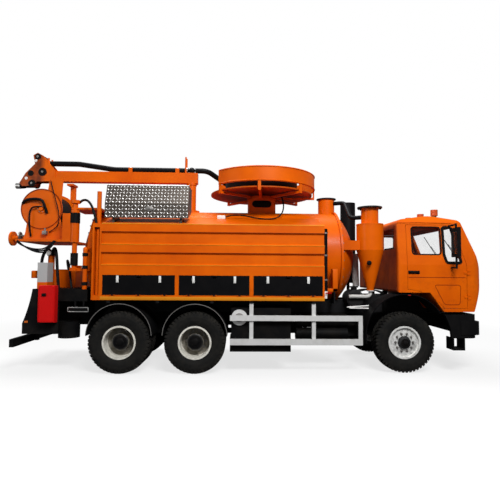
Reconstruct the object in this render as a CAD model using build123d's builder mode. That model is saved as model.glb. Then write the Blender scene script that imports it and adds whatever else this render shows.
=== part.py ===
import math
import os
from collections import namedtuple

from build123d import *

os.makedirs("parts", exist_ok=True)

# Millimetres; +X forward, +Y to the truck's left, +Z up, ground at Z = 0
overall_length = 9200
body_width = 2500
front_overhang = 1465
wheelbase = 3850
tandem_spacing = 1350
tyre_d = 1110
tyre_w = 300
rim_seat_r = 285.7
rim_flange_r = 300
rim_width = 230
front_track = 2000
twin_track = 1830
twin_spacing = 335
kingpin_y = 800
spindle_r = 45
rear_spindle_r = 60
fit = 0.3
door_gap = 6

frame_width = 860
rail_z = 780
rail_h = 260
rail_flange = 80
rail_t = 10
subframe_h = 250

tank_r = 925
tank_z = 2150
tank_front_dish = 400
tank_rear_dish = 350
tank_flange_w = 40

locker_z = 1315
locker_h = 470
locker_depth = 380
flap_sill = 90
flap_h = 360
flap_t = 25
panel_top_z = 2690
panel_rib = 30

cab_w = 2430
cab_wall = 55
cab_floor_z = 1130
cab_rear_floor_z = 1480
cab_top_z = 2925
cab_nose_z = 1700
arch_r = 830
arch_z = 640
pivot_pin_r = 24.7

beam_z = 3690
beam_h = 220
beam_w = 180
hose_r = 55
reel_r = 1118
reel_floor_z = 3455
jet_disc_r = 390
jet_drop = 674

# Stations along the truck
nose_x = overall_length / 2
tail_x = -overall_length / 2
front_x = nose_x - front_overhang
drive_x = front_x - wheelbase
rear_x = drive_x - tandem_spacing
axle_z = tyre_d / 2
half_w = body_width / 2
rail_y = frame_width / 2
rail_top = rail_z + rail_h
subframe_top = rail_top + subframe_h
frame_rear_x = rear_x - 1570
frame_front_x = front_x + 1280
tank_rear_x = rear_x - 650
tank_front_x = rear_x + 4120
neck_x = tank_front_x - 130
locker_rear_x = rear_x - 340
locker_front_x = rear_x + 3690
column_x = rear_x + 1120
reel_x = rear_x + 2600
jet_x = rear_x - 1665
arm_x = rear_x - 930
arm_y = -tank_r - 25
cyclone_x = tank_front_x + 550
cyclone_y = -800
beam_top = beam_z + beam_h
jet_z = beam_z - jet_drop
tank_top = tank_z + tank_r
neck_top = tank_top + 305
hose_z = beam_top + hose_r + 8
pivot_x = front_x + 1240
pivot_z = cab_floor_z - 25


def block(x0, x1, y0, y1, z0, z1, mode=Mode.ADD):
    with Locations(((x0 + x1) / 2, (y0 + y1) / 2, (z0 + z1) / 2)):
        Box(x1 - x0, y1 - y0, z1 - z0, mode=mode)


def bar(start, end, radius, mode=Mode.ADD):
    run = Vector(*end) - Vector(*start)
    with Locations(Plane(origin=start, z_dir=run)):
        Cylinder(radius, run.length, align=(Align.CENTER, Align.CENTER, Align.MIN), mode=mode)


def side_prism(points, y0, y1, mode=Mode.ADD):
    with BuildSketch(Plane.XZ.offset(-y0)) as outline:
        Polygon(*points, align=None)
    extrude(outline.sketch, amount=y0 - y1, mode=mode)


def cross_prism(points, x0, x1, mode=Mode.ADD):
    with BuildSketch(Plane.YZ.offset(x0)) as outline:
        Polygon(*points, align=None)
    extrude(outline.sketch, amount=x1 - x0, mode=mode)


def arch_band(centre, radii, angles, y0, y1):
    with BuildSketch(Plane.XZ.offset(-y0)) as band:
        with BuildLine():
            inner = CenterArc(centre, radii[0], angles[0], angles[1] - angles[0])
            outer = CenterArc(centre, radii[1], angles[0], angles[1] - angles[0])
            Line(inner @ 0, outer @ 0)
            Line(inner @ 1, outer @ 1)
        make_face()
    extrude(band.sketch, amount=y0 - y1)


def pipe(points, bends, radius):
    with BuildLine() as route:
        FilletPolyline(*points, radius=bends)
    with BuildSketch(Plane(origin=route.line @ 0, z_dir=route.line % 0)) as section:
        Circle(radius)
    sweep(section.sketch, path=route.line)


def save(builder, label):
    builder.part.label = label
    export_step(builder.part, f"parts/{label}.step")


def both_sides():
    mirror(about=Plane.XZ)


# Chassis frame: two channel rails, cross members, cab posts and tilt pins
with BuildPart() as frame_rails:
    cross_prism(
        [
            (-rail_y, rail_z),
            (-rail_y + rail_flange, rail_z),
            (-rail_y + rail_flange, rail_z + rail_t),
            (-rail_y + rail_t, rail_z + rail_t),
            (-rail_y + rail_t, rail_top - rail_t),
            (-rail_y + rail_flange, rail_top - rail_t),
            (-rail_y + rail_flange, rail_top),
            (-rail_y, rail_top),
        ],
        frame_rear_x,
        frame_front_x,
    )
    block(front_x - 140, front_x - 60, -rail_y, -rail_y + rail_flange, rail_top, cab_rear_floor_z)
    block(pivot_x - 40, pivot_x + 20, -rail_y, -rail_y + rail_flange, rail_top, pivot_z)
    bar((pivot_x, -rail_y, pivot_z), (pivot_x, -rail_y + rail_flange, pivot_z), pivot_pin_r)
    both_sides()
    for member_x in (frame_rear_x + 60, rear_x - 700, rear_x + 675, drive_x + 900, front_x - 1700, front_x + 1100):
        block(member_x - 50, member_x + 50, -rail_y + rail_t, rail_y - rail_t, rail_z + 60, rail_top - 60)
save(frame_rails, "frame_rails")

# Steered axle: drop beam with an upright eye for each kingpin
with BuildPart() as front_axle:
    cross_prism(
        [
            (-kingpin_y, axle_z - 55),
            (-700, axle_z - 55),
            (-560, axle_z - 150),
            (560, axle_z - 150),
            (700, axle_z - 55),
            (kingpin_y, axle_z - 55),
            (kingpin_y, axle_z + 55),
            (740, axle_z + 55),
            (500, axle_z - 40),
            (-500, axle_z - 40),
            (-740, axle_z + 55),
            (-kingpin_y, axle_z + 55),
        ],
        front_x - 55,
        front_x + 55,
    )
    for pin_y in (-kingpin_y, kingpin_y):
        bar((front_x, pin_y, axle_z - 70), (front_x, pin_y, axle_z + 70), 70)
        bar((front_x, pin_y, axle_z - 71), (front_x, pin_y, axle_z + 71), 25 + fit, Mode.SUBTRACT)
save(front_axle, "front_axle")

# Driven axles: housings with their prop shafts
pinion_z = axle_z + 60
with BuildPart() as rear_axles:
    for axle_x in (rear_x, drive_x):
        bar((axle_x, -twin_track / 2 + 215, axle_z), (axle_x, twin_track / 2 - 215, axle_z), 85)
        bar((axle_x, -twin_track / 2 - 140, axle_z), (axle_x, twin_track / 2 + 140, axle_z), rear_spindle_r)
        for side in (-1, 1):
            bar((axle_x, side * 625, axle_z), (axle_x, side * 685, axle_z), 205)
        with Locations((axle_x, 0, axle_z)):
            Sphere(215)
        bar((axle_x - 330, 0, pinion_z), (axle_x + 330, 0, pinion_z), 75)
    bar((rear_x + 330, 0, pinion_z), (drive_x - 330, 0, pinion_z), 50)
    bar((drive_x + 330, 0, pinion_z), (front_x - 1500, 0, pinion_z), 55)
save(rear_axles, "rear_axles")

# Leaf packs: one per side at the front, one bogie pack per side at the rear
bogie_x = (rear_x + drive_x) / 2
eye_z = rail_z - 90
seat_z = axle_z + 85 + fit
with BuildPart() as leaf_springs:
    with BuildSketch(Plane.XZ.offset(rail_y - rail_flange)):
        with BuildLine():
            Polyline((front_x - 700, rail_z), (front_x - 700, eye_z), (front_x - 640, eye_z - 30))
            ThreePointArc((front_x - 640, eye_z - 30), (front_x, axle_z - 40 + fit), (front_x + 640, eye_z - 30))
            Polyline((front_x + 640, eye_z - 30), (front_x + 700, eye_z), (front_x + 700, rail_z))
            Line((front_x + 700, rail_z), (front_x + 640, rail_z))
            Line((front_x + 640, rail_z), (front_x + 600, eye_z + 30))
            ThreePointArc((front_x + 600, eye_z + 30), (front_x, eye_z - 35), (front_x - 600, eye_z + 30))
            Polyline((front_x - 600, eye_z + 30), (front_x - 640, rail_z), (front_x - 700, rail_z))
        make_face()
    extrude(amount=rail_flange)
    with BuildSketch(Plane.XZ.offset(rail_y + 35)):
        with BuildLine():
            Line((rear_x - 110, seat_z), (drive_x + 110, seat_z))
            Line((drive_x + 110, seat_z), (drive_x + 110, seat_z + 50))
            ThreePointArc((drive_x + 110, seat_z + 50), (bogie_x, seat_z + 180), (rear_x - 110, seat_z + 50))
            Line((rear_x - 110, seat_z + 50), (rear_x - 110, seat_z))
        make_face()
    extrude(amount=90)
    block(bogie_x - 130, bogie_x + 130, -rail_y - 35, -rail_y, seat_z + 20, rail_top - 40)
    both_sides()
save(leaf_springs, "leaf_springs")

# Engine, gearbox and radiator as plain blocks
with BuildPart() as engine_block:
    block(front_x - 650, front_x + 650, -340, 340, 620, 1380)
    block(front_x - 1500, front_x - 650, -230, 230, 540, 1000)
    block(front_x + 650, front_x + 800, -330, 330, 800, 1390)
save(engine_block, "engine_block")

# Bumper with its lower step on each side
bumper_top = 1080
with BuildPart() as front_bumper:
    with BuildSketch(Plane.XY.offset(650)):
        with BuildLine():
            FilletPolyline(
                (front_x + 600, -1225), (front_x + 1340, -1225), (front_x + 1340, 1225), (front_x + 600, 1225),
                (front_x + 600, 1165), (front_x + 1280, 1165), (front_x + 1280, -1165), (front_x + 600, -1165),
                radius=[0, 180, 180, 0, 0, 120, 120, 0], close=True,
            )
        make_face()
    extrude(amount=bumper_top - 650)
    with BuildSketch(Plane.XY.offset(710)):
        with BuildLine():
            FilletPolyline(
                (front_x + 1000, -1237), (front_x + 1420, -1237), (front_x + 1420, 1237), (front_x + 1000, 1237),
                (front_x + 1000, 1165), (front_x + 1280, 1165), (front_x + 1280, -1165), (front_x + 1000, -1165),
                radius=[0, 200, 200, 0, 0, 120, 120, 0], close=True,
            )
        make_face()
    extrude(amount=240)
    bar((front_x, -1300, arch_z), (front_x, 1300, arch_z), arch_r, Mode.SUBTRACT)
    for side in (-1, 1):
        block(front_x + 1300, front_x + 1430, side * 820 - 200, side * 820 + 200, 740, 920, Mode.SUBTRACT)
        block(front_x + 860, front_x + 880, side * 1085 - 130, side * 1085 + 130, 430, 655)
        block(front_x + 1060, front_x + 1080, side * 1085 - 130, side * 1085 + 130, 430, 655)
        block(front_x + 860, front_x + 1080, side * 1085 - 130, side * 1085 + 130, 430, 465)
save(front_bumper, "front_bumper")

# Lamp blocks at both ends
with BuildPart() as lamps:
    for side in (-1, 1):
        block(front_x + 1300, front_x + 1405, side * 820 - 199, side * 820 + 199, 741, 919)
        block(frame_rear_x - 65, frame_rear_x - 30, side * 850 - 190, side * 850 + 190, 1000, 1130)
save(lamps, "lamps")

# Wheel guards: front liners and rear half rounds with their stays
with BuildPart() as mudguards:
    arch_band((front_x, 700), (740, 755), (32, 192), -760, -1222)
    bar((front_x - 702, -rail_y, 955), (front_x - 702, -800, 955), 20)
    for axle_x in (rear_x, drive_x):
        arch_band((axle_x, 670), (572, 584), (1, 179), -600, -1240)
        bar((axle_x, -rail_y, 1242), (axle_x, -1200, 1242), 18)
    both_sides()
save(mudguards, "mudguards")

# Side guard rails between the axles
guard_posts = (rear_x + 2366, rear_x + 3500)
guard_rear_x = drive_x + tyre_d / 2 + 75
guard_front_x = front_x - 815
guard_y = half_w - 5
with BuildPart() as side_guards:
    for rail_low, rail_high in ((955, 1053), (523, 633)):
        block(guard_rear_x, guard_front_x, -guard_y, -guard_y + 30, rail_low, rail_high)
    block(guard_front_x - 75, guard_front_x, -guard_y, -guard_y + 30, 523, 1053)
    for post_x in guard_posts:
        block(post_x - 35, post_x + 35, -guard_y + 30, -guard_y + 70, 523, locker_z - 50)
    both_sides()
save(side_guards, "side_guards")

# Tanks and cases hung on the rails
with BuildPart() as side_tanks:
    block(rear_x + 2000, rear_x + 3090, -1140, -rail_y, 640, 1180)
    block(rear_x + 1980, rear_x + 3090, -1150, -640, 390, 640)
    for vessel_z in (900, 640):
        bar((rear_x + 3250, -640, vessel_z), (rear_x + 4250, -640, vessel_z), 125)
    for strap_x in (rear_x + 3450, rear_x + 4050):
        block(strap_x - 25, strap_x + 25, -600, -rail_y, 620, 960)
    bar((rear_x - 1020, -850, 600), (rear_x - 1020, -850, 900), 190)
    block(rear_x - 1080, rear_x - 960, -850, -rail_y, 860, 900)
    with BuildSketch(Plane.YZ.offset(rear_x + 2050)):
        with Locations((rail_y + 355, 800)):
            RectangleRounded(710, 620, 90)
    extrude(amount=1500)
save(side_tanks, "side_tanks")

# Black rear apron with deck, cross panel and underrun bar
with BuildPart() as rear_apron:
    with BuildSketch(Plane.XZ.offset(1050)):
        with BuildLine():
            Polyline(
                (rear_x - 1605, 1500), (rear_x - 620, 1500), (rear_x - 620, 1280), (rear_x - 1130, 1280),
                (rear_x - 1130, 690), (rear_x - 1770, 690), (rear_x - 1770, 880),
            )
            ThreePointArc((rear_x - 1770, 880), (rear_x - 1665, 1200), (rear_x - 1605, 1500))
        make_face()
    extrude(amount=40)
    both_sides()
    block(frame_rear_x - 30, frame_rear_x, -1050, 1050, 950, 1500)
    block(frame_rear_x, rear_x - 900, -1050, 1050, 1480, 1500)
    block(rear_x - 1930, rear_x - 1855, -1200, 1200, 470, 610)
    for side in (-1, 1):
        block(rear_x - 1855, frame_rear_x + 150, side * 390 - 35, side * 390 + 35, 700, rail_z)
        block(rear_x - 1855, rear_x - 1790, side * 390 - 35, side * 390 + 35, 470, rail_z)
save(rear_apron, "rear_apron")

# Red extinguisher locker on the right apron
with BuildPart() as extinguisher_box:
    block(rear_x - 1438, rear_x - 1145, -1240, -1090, 906, 1568)
    fillet(extinguisher_box.edges().group_by(Axis.Y)[0], 35)
save(extinguisher_box, "extinguisher_box")

# Round tank with dished ends, filler neck and the fixed post of the reel arm
with BuildPart() as tank_shell:
    with BuildSketch(Plane.XZ):
        with BuildLine():
            crown_front = tank_front_x + tank_front_dish
            crown_rear = tank_rear_x - tank_rear_dish
            Line((crown_rear, tank_z), (crown_front, tank_z))
            ThreePointArc(
                (crown_front, tank_z), (tank_front_x + tank_front_dish * 0.77, tank_z + tank_r / 2),
                (tank_front_x, tank_z + tank_r),
            )
            Line((tank_front_x, tank_z + tank_r), (tank_rear_x, tank_z + tank_r))
            ThreePointArc(
                (tank_rear_x, tank_z + tank_r), (tank_rear_x - tank_rear_dish * 0.77, tank_z + tank_r / 2),
                (crown_rear, tank_z),
            )
        make_face()
    revolve(axis=Axis((0, 0, tank_z), (1, 0, 0)))
    bar((tank_rear_x - 40, 0, tank_z), (tank_rear_x + 40, 0, tank_z), tank_r + tank_flange_w)
    bar((tank_front_x - 40, 0, tank_z), (tank_front_x, 0, tank_z), tank_r + tank_flange_w)
    bar((neck_x, 0, tank_top - 125), (neck_x, 0, neck_top), 170)
    bar((neck_x, 0, neck_top), (neck_x, 0, neck_top + 20), 205)
    post_low_z = tank_z - 320
    bar((arm_x, arm_y, post_low_z), (arm_x, arm_y, tank_top + 75), 45)
    for collar_z in (post_low_z, tank_top + 15):
        bar((arm_x, arm_y, collar_z), (arm_x, arm_y, collar_z + 60), 80)
    block(arm_x - 60, tank_rear_x + 30, arm_y - 40, arm_y + 170, post_low_z, post_low_z + 50)
    block(arm_x - 60, tank_rear_x + 200, arm_y - 40, arm_y + 650, tank_top - 100, tank_top - 65)
save(tank_shell, "tank_shell")

# Subframe with saddles, outriggers and the locker boxes
Flap = namedtuple("Flap", "name rear front")
flaps = (
    Flap("rear", rear_x - 307, rear_x + 984),
    Flap("middle", rear_x + 1054, rear_x + 2325),
    Flap("front", rear_x + 2398, rear_x + 3657),
)
flap_z = locker_z + flap_sill
hinge_y = half_w + 8
hinge_r = 7


def hinge_stations(flap):
    return (flap.rear + 180, (flap.rear + flap.front) / 2, flap.front - 180)


outriggers = (rear_x - 200, rear_x + 675, rear_x + 1650) + guard_posts
with BuildPart() as body_frame:
    block(rear_x - 700, front_x - 450, -rail_y, -rail_y + rail_flange, rail_top, subframe_top)
    block(locker_rear_x, locker_front_x, -half_w, -half_w + locker_depth, locker_z, locker_z + locker_h)
    for flap in flaps:
        block(flap.rear, flap.front, -half_w, -half_w + locker_depth - 25, flap_z, flap_z + flap_h, Mode.SUBTRACT)
        for station in hinge_stations(flap):
            for x0, x1 in ((station - 45, station - 20.5), (station + 20.5, station + 45)):
                bar((x0, -hinge_y, flap_z), (x1, -hinge_y, flap_z), hinge_r)
                block(x0, x1, -hinge_y, -half_w, flap_z - 22, flap_z)
    for beam_x in outriggers:
        block(beam_x - 30, beam_x + 30, -half_w + 20, -rail_y, locker_z - 50, locker_z)
    both_sides()
    for beam_x in outriggers + (rear_x + 4000,):
        block(beam_x - 15, beam_x + 15, -700, 700, subframe_top - 60, subframe_top + 380)
    add(tank_shell.part, mode=Mode.SUBTRACT)
save(body_frame, "body_frame")

# Locker flaps, hinged along the lower outer edge
for side_name, side in (("right", -1), ("left", 1)):
    for flap in flaps:
        with BuildPart() as locker_flap:
            block(flap.rear + 5, flap.front - 5, -half_w, -half_w + flap_t, flap_z + 5, flap_z + flap_h - 5)
            for station in hinge_stations(flap):
                bar((station - 20, -hinge_y, flap_z), (station + 20, -hinge_y, flap_z), hinge_r)
                block(station - 20, station + 20, -hinge_y, -half_w, flap_z, flap_z + 35)
            if side > 0:
                mirror(about=Plane.XZ, mode=Mode.REPLACE)
        save(locker_flap, f"locker_flap_{side_name}_{flap.name}")

# Ribbed side panels with sloping cover, end plates and rear post
slope = 0.304
with BuildPart() as side_panels:
    rib = -half_w + panel_rib
    cross_prism(
        [
            (-520, panel_top_z + (half_w - 520) * slope), (-half_w, panel_top_z),
            (-half_w, 2545), (rib, 2515), (rib, 2345), (-half_w, 2315),
            (-half_w, 2170), (rib, 2140), (rib, 1975), (-half_w, 1945),
            (-half_w, locker_z + locker_h), (-1190, locker_z + locker_h), (-1190, 2676),
            (-520, 2676 + 670 * slope),
        ],
        locker_rear_x,
        locker_front_x,
    )
    for plate_x in (locker_rear_x, locker_front_x - 30):
        cross_prism(
            [(-1190, locker_z + locker_h), (-1190, 2680), (-540, 2870), (-540, locker_z + locker_h)],
            plate_x,
            plate_x + 30,
        )
    block(locker_rear_x - 160, locker_rear_x, -half_w, -1060, locker_z, panel_top_z)
    block(locker_rear_x - 130, locker_rear_x - 30, -half_w, -1130, 1400, 2620, Mode.SUBTRACT)
    bar((locker_rear_x - 80, -1165, 1399), (locker_rear_x - 80, -1165, 2621), 22)
    both_sides()
    add(tank_shell.part, mode=Mode.SUBTRACT)
save(side_panels, "side_panels")

# Cyclone separator in front of the tank
with BuildPart() as cyclone:
    with BuildSketch(Plane.XZ.offset(-cyclone_y)):
        Polygon(
            (cyclone_x, 3110), (cyclone_x + 236, 3110), (cyclone_x + 236, 3085), (cyclone_x + 163, 3085),
            (cyclone_x + 163, 2777), (cyclone_x + 253, 2777), (cyclone_x + 253, 2260),
            (cyclone_x + 68, 1526), (cyclone_x + 68, 1480), (cyclone_x, 1480),
            align=None,
        )
    revolve(axis=Axis((cyclone_x, cyclone_y, 0), (0, 0, 1)))
    pipe([(cyclone_x, cyclone_y, 1500), (cyclone_x, cyclone_y, 1380), (cyclone_x - 420, cyclone_y, 1380)], [70], 35)
    block(tank_front_x, cyclone_x - 150, cyclone_y - 110, cyclone_y + 110, 2270, 2450)
    add(tank_shell.part, mode=Mode.SUBTRACT)
save(cyclone, "cyclone")

# Black hoses, drain pipe and the upright stack behind the cab
winding_r = 760
with BuildPart() as pipework:
    pipe(
        [
            (neck_x + 140, -100, neck_top - 90), (neck_x + 340, -220, neck_top - 90),
            (neck_x + 360, -600, 2920), (cyclone_x - 130, cyclone_y + 80, 2920),
        ],
        [130, 130],
        42,
    )
    bar((locker_front_x + 36, -1165, 1480), (locker_front_x + 36, -1165, 2640), 36)
    bar((cyclone_x, -cyclone_y, 1600), (cyclone_x, -cyclone_y, 3450), 170)
    pipe([(cyclone_x, 800, 1620), (cyclone_x, 800, 1285), (cyclone_x, rail_y, 1285)], [100], 34)
    pipe(
        [
            (column_x + 75, 0, hose_z), (column_x + 330, 0, hose_z), (column_x + 888, 574, 3700),
        ],
        [260],
        hose_r,
    )
    add(tank_shell.part, mode=Mode.SUBTRACT)
    add(cyclone.part, mode=Mode.SUBTRACT)
save(pipework, "pipework")

# Stands on the tank: reel pedestal with arms and tub wall, boom column
with BuildPart() as roof_stands:
    block(reel_x - 282, reel_x + 282, -240, 240, tank_top - 125, 3340)
    with BuildSketch(Plane.XZ.offset(-300)):
        with Locations((reel_x, 3245)):
            SlotOverall(400, 150)
    extrude(amount=600, mode=Mode.SUBTRACT)
    bar((reel_x, 0, 3340), (reel_x, 0, 3410), 300)
    bar((reel_x, 0, 3339), (reel_x, 0, 3411), 80 + fit, Mode.SUBTRACT)
    with BuildSketch(Plane.XY.offset(3540)):
        with BuildLine():
            inner_wall = CenterArc((reel_x, 0), reel_r - 28, 218, 284)
            outer_wall = CenterArc((reel_x, 0), reel_r, 218, 284)
            Line(inner_wall @ 0, outer_wall @ 0)
            Line(inner_wall @ 1, outer_wall @ 1)
        make_face()
    extrude(amount=290)
    for arm_angle in (40, 85, 130, 220, 265, 310, 355):
        with Locations(Location((reel_x, 0, 0), (0, 0, arm_angle))):
            with Locations((695, 0, 3388)):
                Box(830, 50, 44)
            with Locations((reel_r - 14, 0, 3465)):
                Box(28, 60, 200)
    bar((column_x, 0, tank_top - 125), (column_x, 0, tank_top + 35), 170)
    bar((column_x, 0, tank_top + 25), (column_x, 0, beam_z - 45), 95)
    bar((column_x, 0, beam_z - 250), (column_x, 0, beam_z), 60 + fit, Mode.SUBTRACT)
    guide_angle = 136
    with Locations(Location((reel_x, 0, 0), (0, 0, guide_angle))):
        with Locations(((winding_r + 30 + reel_r - 14) / 2, 0, 3690)):
            Box(reel_r - 14 - winding_r - 30, 60, 160)
    add(tank_shell.part, mode=Mode.SUBTRACT)
    add(pipework.part, mode=Mode.SUBTRACT)
save(roof_stands, "roof_stands")

# Tread plate tool box on the right shoulder, and its lid
box_rear_x = rear_x - 310
box_front_x = rear_x + 1200
box_back_y = -700
box_face_y = -1210
with BuildPart() as tool_box:
    cross_prism(
        [
            (box_face_y, 2800), (box_back_y, 2800 + 510 * slope), (box_back_y, 3390),
            (-1068, 3390), (-1180, 3056), (box_face_y, 3056),
        ],
        box_rear_x,
        box_front_x,
    )
    cross_prism(
        [
            (box_face_y + 25, 2833), (box_back_y - 25, 2833 + 460 * slope), (box_back_y - 25, 3450),
            (-1300, 3450), (-1300, 3056), (box_face_y + 25, 3056),
        ],
        box_rear_x + 25,
        box_front_x - 25,
        Mode.SUBTRACT,
    )
    for leg_x in (box_rear_x + 120, box_front_x - 160):
        cross_prism(
            [
                (-1150, panel_top_z + 100 * slope), (-800, panel_top_z + 450 * slope),
                (-800, 2800 + 410 * slope), (-1150, 2800 + 60 * slope),
            ],
            leg_x,
            leg_x + 40,
        )
    for hinge_x in (box_rear_x + 250, box_front_x - 250):
        for x0, x1 in ((hinge_x - 60, hinge_x - 30.5), (hinge_x + 30.5, hinge_x + 60)):
            bar((x0, box_back_y + 12, 3405), (x1, box_back_y + 12, 3405), 10)
            block(x0, x1, box_back_y, box_back_y + 16, 3360, 3400)
save(tool_box, "tool_box")

with BuildPart() as tool_box_lid:
    cross_prism(
        [
            (box_face_y, 3061), (-1090, 3420), (box_back_y, 3420),
            (box_back_y, 3395), (-1072, 3395), (-1183, 3061),
        ],
        box_rear_x,
        box_front_x,
    )
    for hinge_x in (box_rear_x + 250, box_front_x - 250):
        bar((hinge_x - 30, box_back_y + 12, 3405), (hinge_x + 30, box_back_y + 12, 3405), 10)
        block(hinge_x - 30, hinge_x + 30, box_back_y, box_back_y + 12, 3400, 3415)
save(tool_box_lid, "tool_box_lid")

# Fixed valves and boxes on the rear deck
with BuildPart() as rear_fittings:
    block(rear_x - 1570, rear_x - 1390, -1000, -760, 1500, 1980)
    bar((rear_x - 1500, -600, 1500), (rear_x - 1500, -600, 2200), 60)
    block(rear_x - 1560, rear_x - 1100, -420, 420, 1500, 1860)
    bar((rear_x - 1480, 700, 1500), (rear_x - 1480, 700, 1950), 80)
    for stub_y in (-250, 250):
        bar((rear_x - 1560, stub_y, 1680), (rear_x - 1760, stub_y, 1680), 75)
        bar((rear_x - 1760, stub_y, 1680), (rear_x - 1800, stub_y, 1680), 115)
save(rear_fittings, "rear_fittings")

# Turning floor and core of the suction hose reel, with the wound hose
with BuildPart() as reel_drum:
    bar((reel_x, 0, reel_floor_z - 25), (reel_x, 0, reel_floor_z), reel_r - 53)
    bar((reel_x, 0, reel_floor_z), (reel_x, 0, 3800), 430)
    bar((reel_x, 0, 3345), (reel_x, 0, reel_floor_z), 80)
save(reel_drum, "reel_drum")

with BuildPart() as reel_winding:
    bar((reel_x, 0, reel_floor_z), (reel_x, 0, 3740), winding_r)
    bar((reel_x, 0, reel_floor_z), (reel_x, 0, 3740), 430, Mode.SUBTRACT)
save(reel_winding, "reel_winding")

# Slewing boom: box beam, hose saddles, guide posts and roller head
head_x = rear_x - 1870
with BuildPart() as boom_beam:
    block(head_x, column_x + 130, -beam_w / 2, beam_w / 2, beam_z, beam_top)
    bar((column_x, 0, beam_z - 40), (column_x, 0, beam_z), 110)
    bar((column_x, 0, beam_z - 240), (column_x, 0, beam_z), 60)
    for saddle_x in (rear_x - 160, rear_x + 820):
        for side in (-1, 1):
            block(
                saddle_x - 40, saddle_x + 40,
                side * (hose_r + 9) - 8, side * (hose_r + 9) + 8, beam_top, beam_top + 100,
            )
        block(saddle_x - 40, saddle_x + 40, -hose_r - 5, hose_r + 5, beam_top, beam_top + 8)
    for side in (-1, 1):
        bar((column_x - 120, side * 76, beam_top), (column_x - 120, side * 76, 4245), 18)
        bar((head_x + 20, side * 76, beam_top), (head_x + 20, side * 76, 4180), 18)
        side_prism(
            [
                (head_x + 170, beam_z), (head_x + 170, beam_top), (head_x - 80, 4220), (head_x - 200, 4285),
                (head_x - 290, 4230), (head_x - 250, 4050), (head_x - 440, 3850), (head_x - 560, 3640),
                (head_x - 500, 3580), (head_x - 280, 3585), (head_x - 200, 3680), (head_x - 80, 3680),
            ],
            side * beam_w / 2,
            side * (beam_w / 2 + 18),
        )
        for roller_x, roller_z in ((head_x - 190, 4200), (head_x - 90, 3880), (head_x - 300, 3640)):
            bar((roller_x, 0, roller_z), (roller_x, side * beam_w / 2, roller_z), 42)
save(boom_beam, "boom_beam")

with BuildPart() as boom_hose:
    pipe(
        [
            (column_x - 70, 0, hose_z), (rear_x - 500, 0, hose_z),
            (rear_x - 1250, 0, 4080), (head_x - 60, 0, 4080), (head_x - 330, 0, 3800),
            (head_x - 480, 0, 3600), (tail_x, 0, 3600),
        ],
        [900, 600, 220, 200, 110],
        hose_r,
    )
save(boom_hose, "boom_hose")

# Swinging frame of the jetting reel: sleeve, shelf, cheeks and boom cradle
cheek_y = (-720, -20)
with BuildPart() as jet_arm:
    bar((arm_x, arm_y, 2360), (arm_x, arm_y, 2960), 78)
    bar((arm_x, arm_y, 2359), (arm_x, arm_y, 2961), 45 + fit, Mode.SUBTRACT)
    block(rear_x - 1150, arm_x - 60, arm_y - 40, arm_y + 40, 2370, 2900)
    block(rear_x - 2000, rear_x - 1060, arm_y - 40, 200, 2370, 2410)
    for plate_y in cheek_y:
        bar((jet_x, plate_y, jet_z), (jet_x, plate_y + 20, jet_z), jet_disc_r)
        side_prism(
            [(rear_x - 2000, 2410), (rear_x - 1960, 2560), (jet_x - 260, jet_z - 200), (jet_x + 300, jet_z), (rear_x - 1200, 2410)],
            plate_y,
            plate_y + 20,
        )
    side_prism(
        [(jet_x + 60, jet_z), (rear_x - 1520, 3640), (rear_x - 1270, 3640), (jet_x + 360, jet_z)],
        cheek_y[0],
        cheek_y[0] + 20,
    )
    block(rear_x - 1430, rear_x - 1340, 30, 120, 2410, 3640)
    block(rear_x - 1450, rear_x - 1320, -110, 140, 3600, 3640)
    bar((rear_x - 1900, -500, 2455), (rear_x - 2280, -500, 2455), 55)
    bar((rear_x - 2280, -500, 2455), (rear_x - 2320, -500, 2455), 140)
    for plate_y in cheek_y:
        bar((jet_x, plate_y - 1, jet_z), (jet_x, plate_y + 21, jet_z), 40 + fit, Mode.SUBTRACT)
save(jet_arm, "jet_arm")

# Jetting reel and its wound hose
jet_inner = (cheek_y[0] + 30, cheek_y[1] - 10)
with BuildPart() as jet_reel_drum:
    bar((jet_x, cheek_y[0] - 40, jet_z), (jet_x, cheek_y[1] + 40, jet_z), 40)
    bar((jet_x, jet_inner[0], jet_z), (jet_x, jet_inner[1], jet_z), 150)
    bar((jet_x, jet_inner[0], jet_z), (jet_x, jet_inner[0] + 20, jet_z), 370)
    bar((jet_x, jet_inner[1] - 20, jet_z), (jet_x, jet_inner[1], jet_z), 370)
save(jet_reel_drum, "jet_reel_drum")

with BuildPart() as jet_winding:
    bar((jet_x, jet_inner[0] + 20, jet_z), (jet_x, jet_inner[1] - 20, jet_z), 325)
    bar((jet_x, jet_inner[0] + 20, jet_z), (jet_x, jet_inner[1] - 20, jet_z), 150, Mode.SUBTRACT)
save(jet_winding, "jet_winding")

# Cab: outer form less inner form, both made of a side, a front and a plan outline
cab_side = [
    (front_x - 150, cab_rear_floor_z), (front_x + 450, cab_rear_floor_z), (front_x + 700, cab_floor_z),
    (front_x + 1270, cab_floor_z), (nose_x, cab_nose_z), (nose_x, cab_nose_z + 100), (front_x + 1400, 1990),
    (front_x + 1060, 2830),
    (front_x + 500, cab_top_z), (front_x - 150, 2830),
]
cab_side_bends = [40, 0, 0, 30, 60, 60, 60, 110, 900, 150]
cab_half = cab_w / 2


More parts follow.
